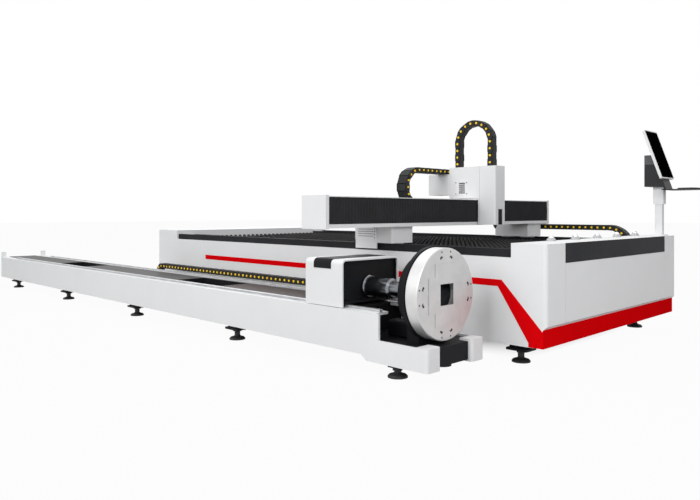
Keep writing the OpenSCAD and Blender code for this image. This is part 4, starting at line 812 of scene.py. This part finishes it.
class LASER_OT_fasteners(bpy.types.Operator):
    """Screws of the covers, plugs of the rails and lock nuts of the feet"""

    bl_idname = "laser.fasteners"
    bl_label = "Fasteners"

    def execute(self, context):
        r = context.scene.laser_looks.screw_radius
        near, far, up = (0, -1, 0), (0, 1, 0), (0, 0, 1)
        low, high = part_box("fan_grille")
        inset = 0.012
        across, heights = ((low[i] + inset, high[i] - inset) for i in (0, 2))
        self.row("grille_screws", "head", [(x, low[1], z) for x in across for z in heights], near, screw(r * 0.7))
        low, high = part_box("saddle_covers")
        x = high[0] - 0.016
        heights = np.linspace(low[2] + 0.085, high[2] - 0.014, 4)
        self.row("near_cover_screws", "gantry", [(x, low[1], z) for z in heights], near, screw(r * 0.6))
        self.row("far_cover_screws", "gantry", [(x, high[1], z) for z in heights], far, screw(r * 0.6))
        rail_x, rail_y, rail_top = np.arange(-0.60, 3.48, 0.08), (-0.715, 1.285), 0.720
        plug = lathe([(0.0085, -0.001), (0.0085, 0.00012), (0.0075, 0.00018)], 14)
        self.row("bed_rail_plugs", "bed", [(x, y, rail_top) for y in rail_y for x in rail_x], up, plug)
        self.foot_nuts()
        return {"FINISHED"}

    def row(self, name, body, points, direction, head):
        """Copies of one screw or plug at the given points, heads out along the direction."""
        places = np.array(points, float)
        obj = piece(name, repeat(head, places, turn_to(direction, len(places))), [black_oxide()])
        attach(obj, body)

    def foot_nuts(self):
        """Hexagon lock nut on each foot's stem: a six-sided lathe with chamfered edges, close under the plate."""
        plate, end_plate = 0.080, 0.059  # undersides of the foot plates
        bed = [(x, y, plate) for x in (-0.790, 1.355, 3.502) for y in (-0.662, 1.232)]
        first, spacing, count = 3.190, 1.6725, 5
        tube = [(first - spacing * i, y, plate if i else end_plate)
                for i in range(count) for y in (-1.560, -1.120)]
        places = np.array(bed + tube)
        nut = lathe([(0.0305, -0.0175), (0.033, -0.0155), (0.033, -0.0025), (0.0305, -0.0005)], 6)
        obj = piece("foot_lock_nuts", repeat(nut, places, turn_to((0, 0, 1), len(places))), [black_oxide()])
        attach(obj, "bed")


class LASER_OT_chuck_face(bpy.types.Operator):
    """Screw holes in clusters round the chuck's face, and the dark sleeve in its bore"""

    bl_idname = "laser.chuck_face"
    bl_label = "Chuck Face"

    def execute(self, context):
        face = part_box("chuck_body")[1][0]
        # Beside a quarter's middle line, out from the axis, and radius
        spots = np.array([[0.054, 0.222, 0.0065], [0.046, 0.231, 0.0038], [0.039, 0.226, 0.0038],
                          [0.044, 0.258, 0.0045]])
        both = np.concatenate([spots, spots * [-1, 1, 1]])
        turn = np.arange(4) * np.pi / 2
        y = both[:, 0] * np.cos(turn)[:, None] - both[:, 1] * np.sin(turn)[:, None]
        z = both[:, 0] * np.sin(turn)[:, None] + both[:, 1] * np.cos(turn)[:, None]
        places = np.stack([np.full(y.shape, face), y + AXIS_Y, z + AXIS_Z], -1).reshape(-1, 3)
        size = np.tile(both[:, 2], len(turn))
        turns = turn_to((1, 0, 0), len(places)) * size[:, None, None]
        hole = lathe([(1.3, 0.0), (1.3, 0.05), (1.05, 0.05), (1.0, 0.02)], 14)
        obj = piece("chuck_screw_holes", repeat(hole, places, turns), [black_oxide()])
        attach(obj, "chuck")
        radius, thick, back, front = 0.1097, 0.0015, 0.213, 0.050
        verts, quads, tris = sleeve(radius, thick, face - back, face - front, 64)
        verts = verts @ turn_to((1, 0, 0))[0].T + [0, AXIS_Y, AXIS_Z]
        obj = piece("bore_sleeve", (verts, quads, tris), [black_oxide()])
        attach(obj, "chuck")
        return {"FINISHED"}


class LASER_PT_pieces(bpy.types.Panel):
    """Sidebar list of the machine's pieces"""

    bl_idname = "LASER_PT_pieces"
    bl_label = "Laser Cutter"
    bl_space_type = "VIEW_3D"
    bl_region_type = "UI"
    bl_category = "Laser Cutter"

    def draw(self, context):
        for step in STEPS:
            self.layout.operator(step.bl_idname)


STEPS = (LASER_OT_stage, LASER_OT_finishes, LASER_OT_chains, LASER_OT_bellows, LASER_OT_slats, LASER_OT_vents,
         LASER_OT_racks, LASER_OT_fasteners, LASER_OT_chuck_face)
CLASSES = (LaserCutterLooks, *STEPS, LASER_PT_pieces)


def register():
    for cls in CLASSES:
        bpy.utils.register_class(cls)
    bpy.types.Scene.laser_looks = bpy.props.PointerProperty(type=LaserCutterLooks)


def unregister():
    del bpy.types.Scene.laser_looks
    for cls in reversed(CLASSES):
        bpy.utils.unregister_class(cls)


def main():
    register()
    bpy.ops.laser.stage()
    bpy.ops.laser.finishes()
    bpy.ops.laser.chains()
    bpy.ops.laser.bellows()
    bpy.ops.laser.slats()
    bpy.ops.laser.vents()
    bpy.ops.laser.racks()
    bpy.ops.laser.fasteners()
    bpy.ops.laser.chuck_face()
    bpy.context.view_layer.update()


if __name__ == "__main__":
    main()
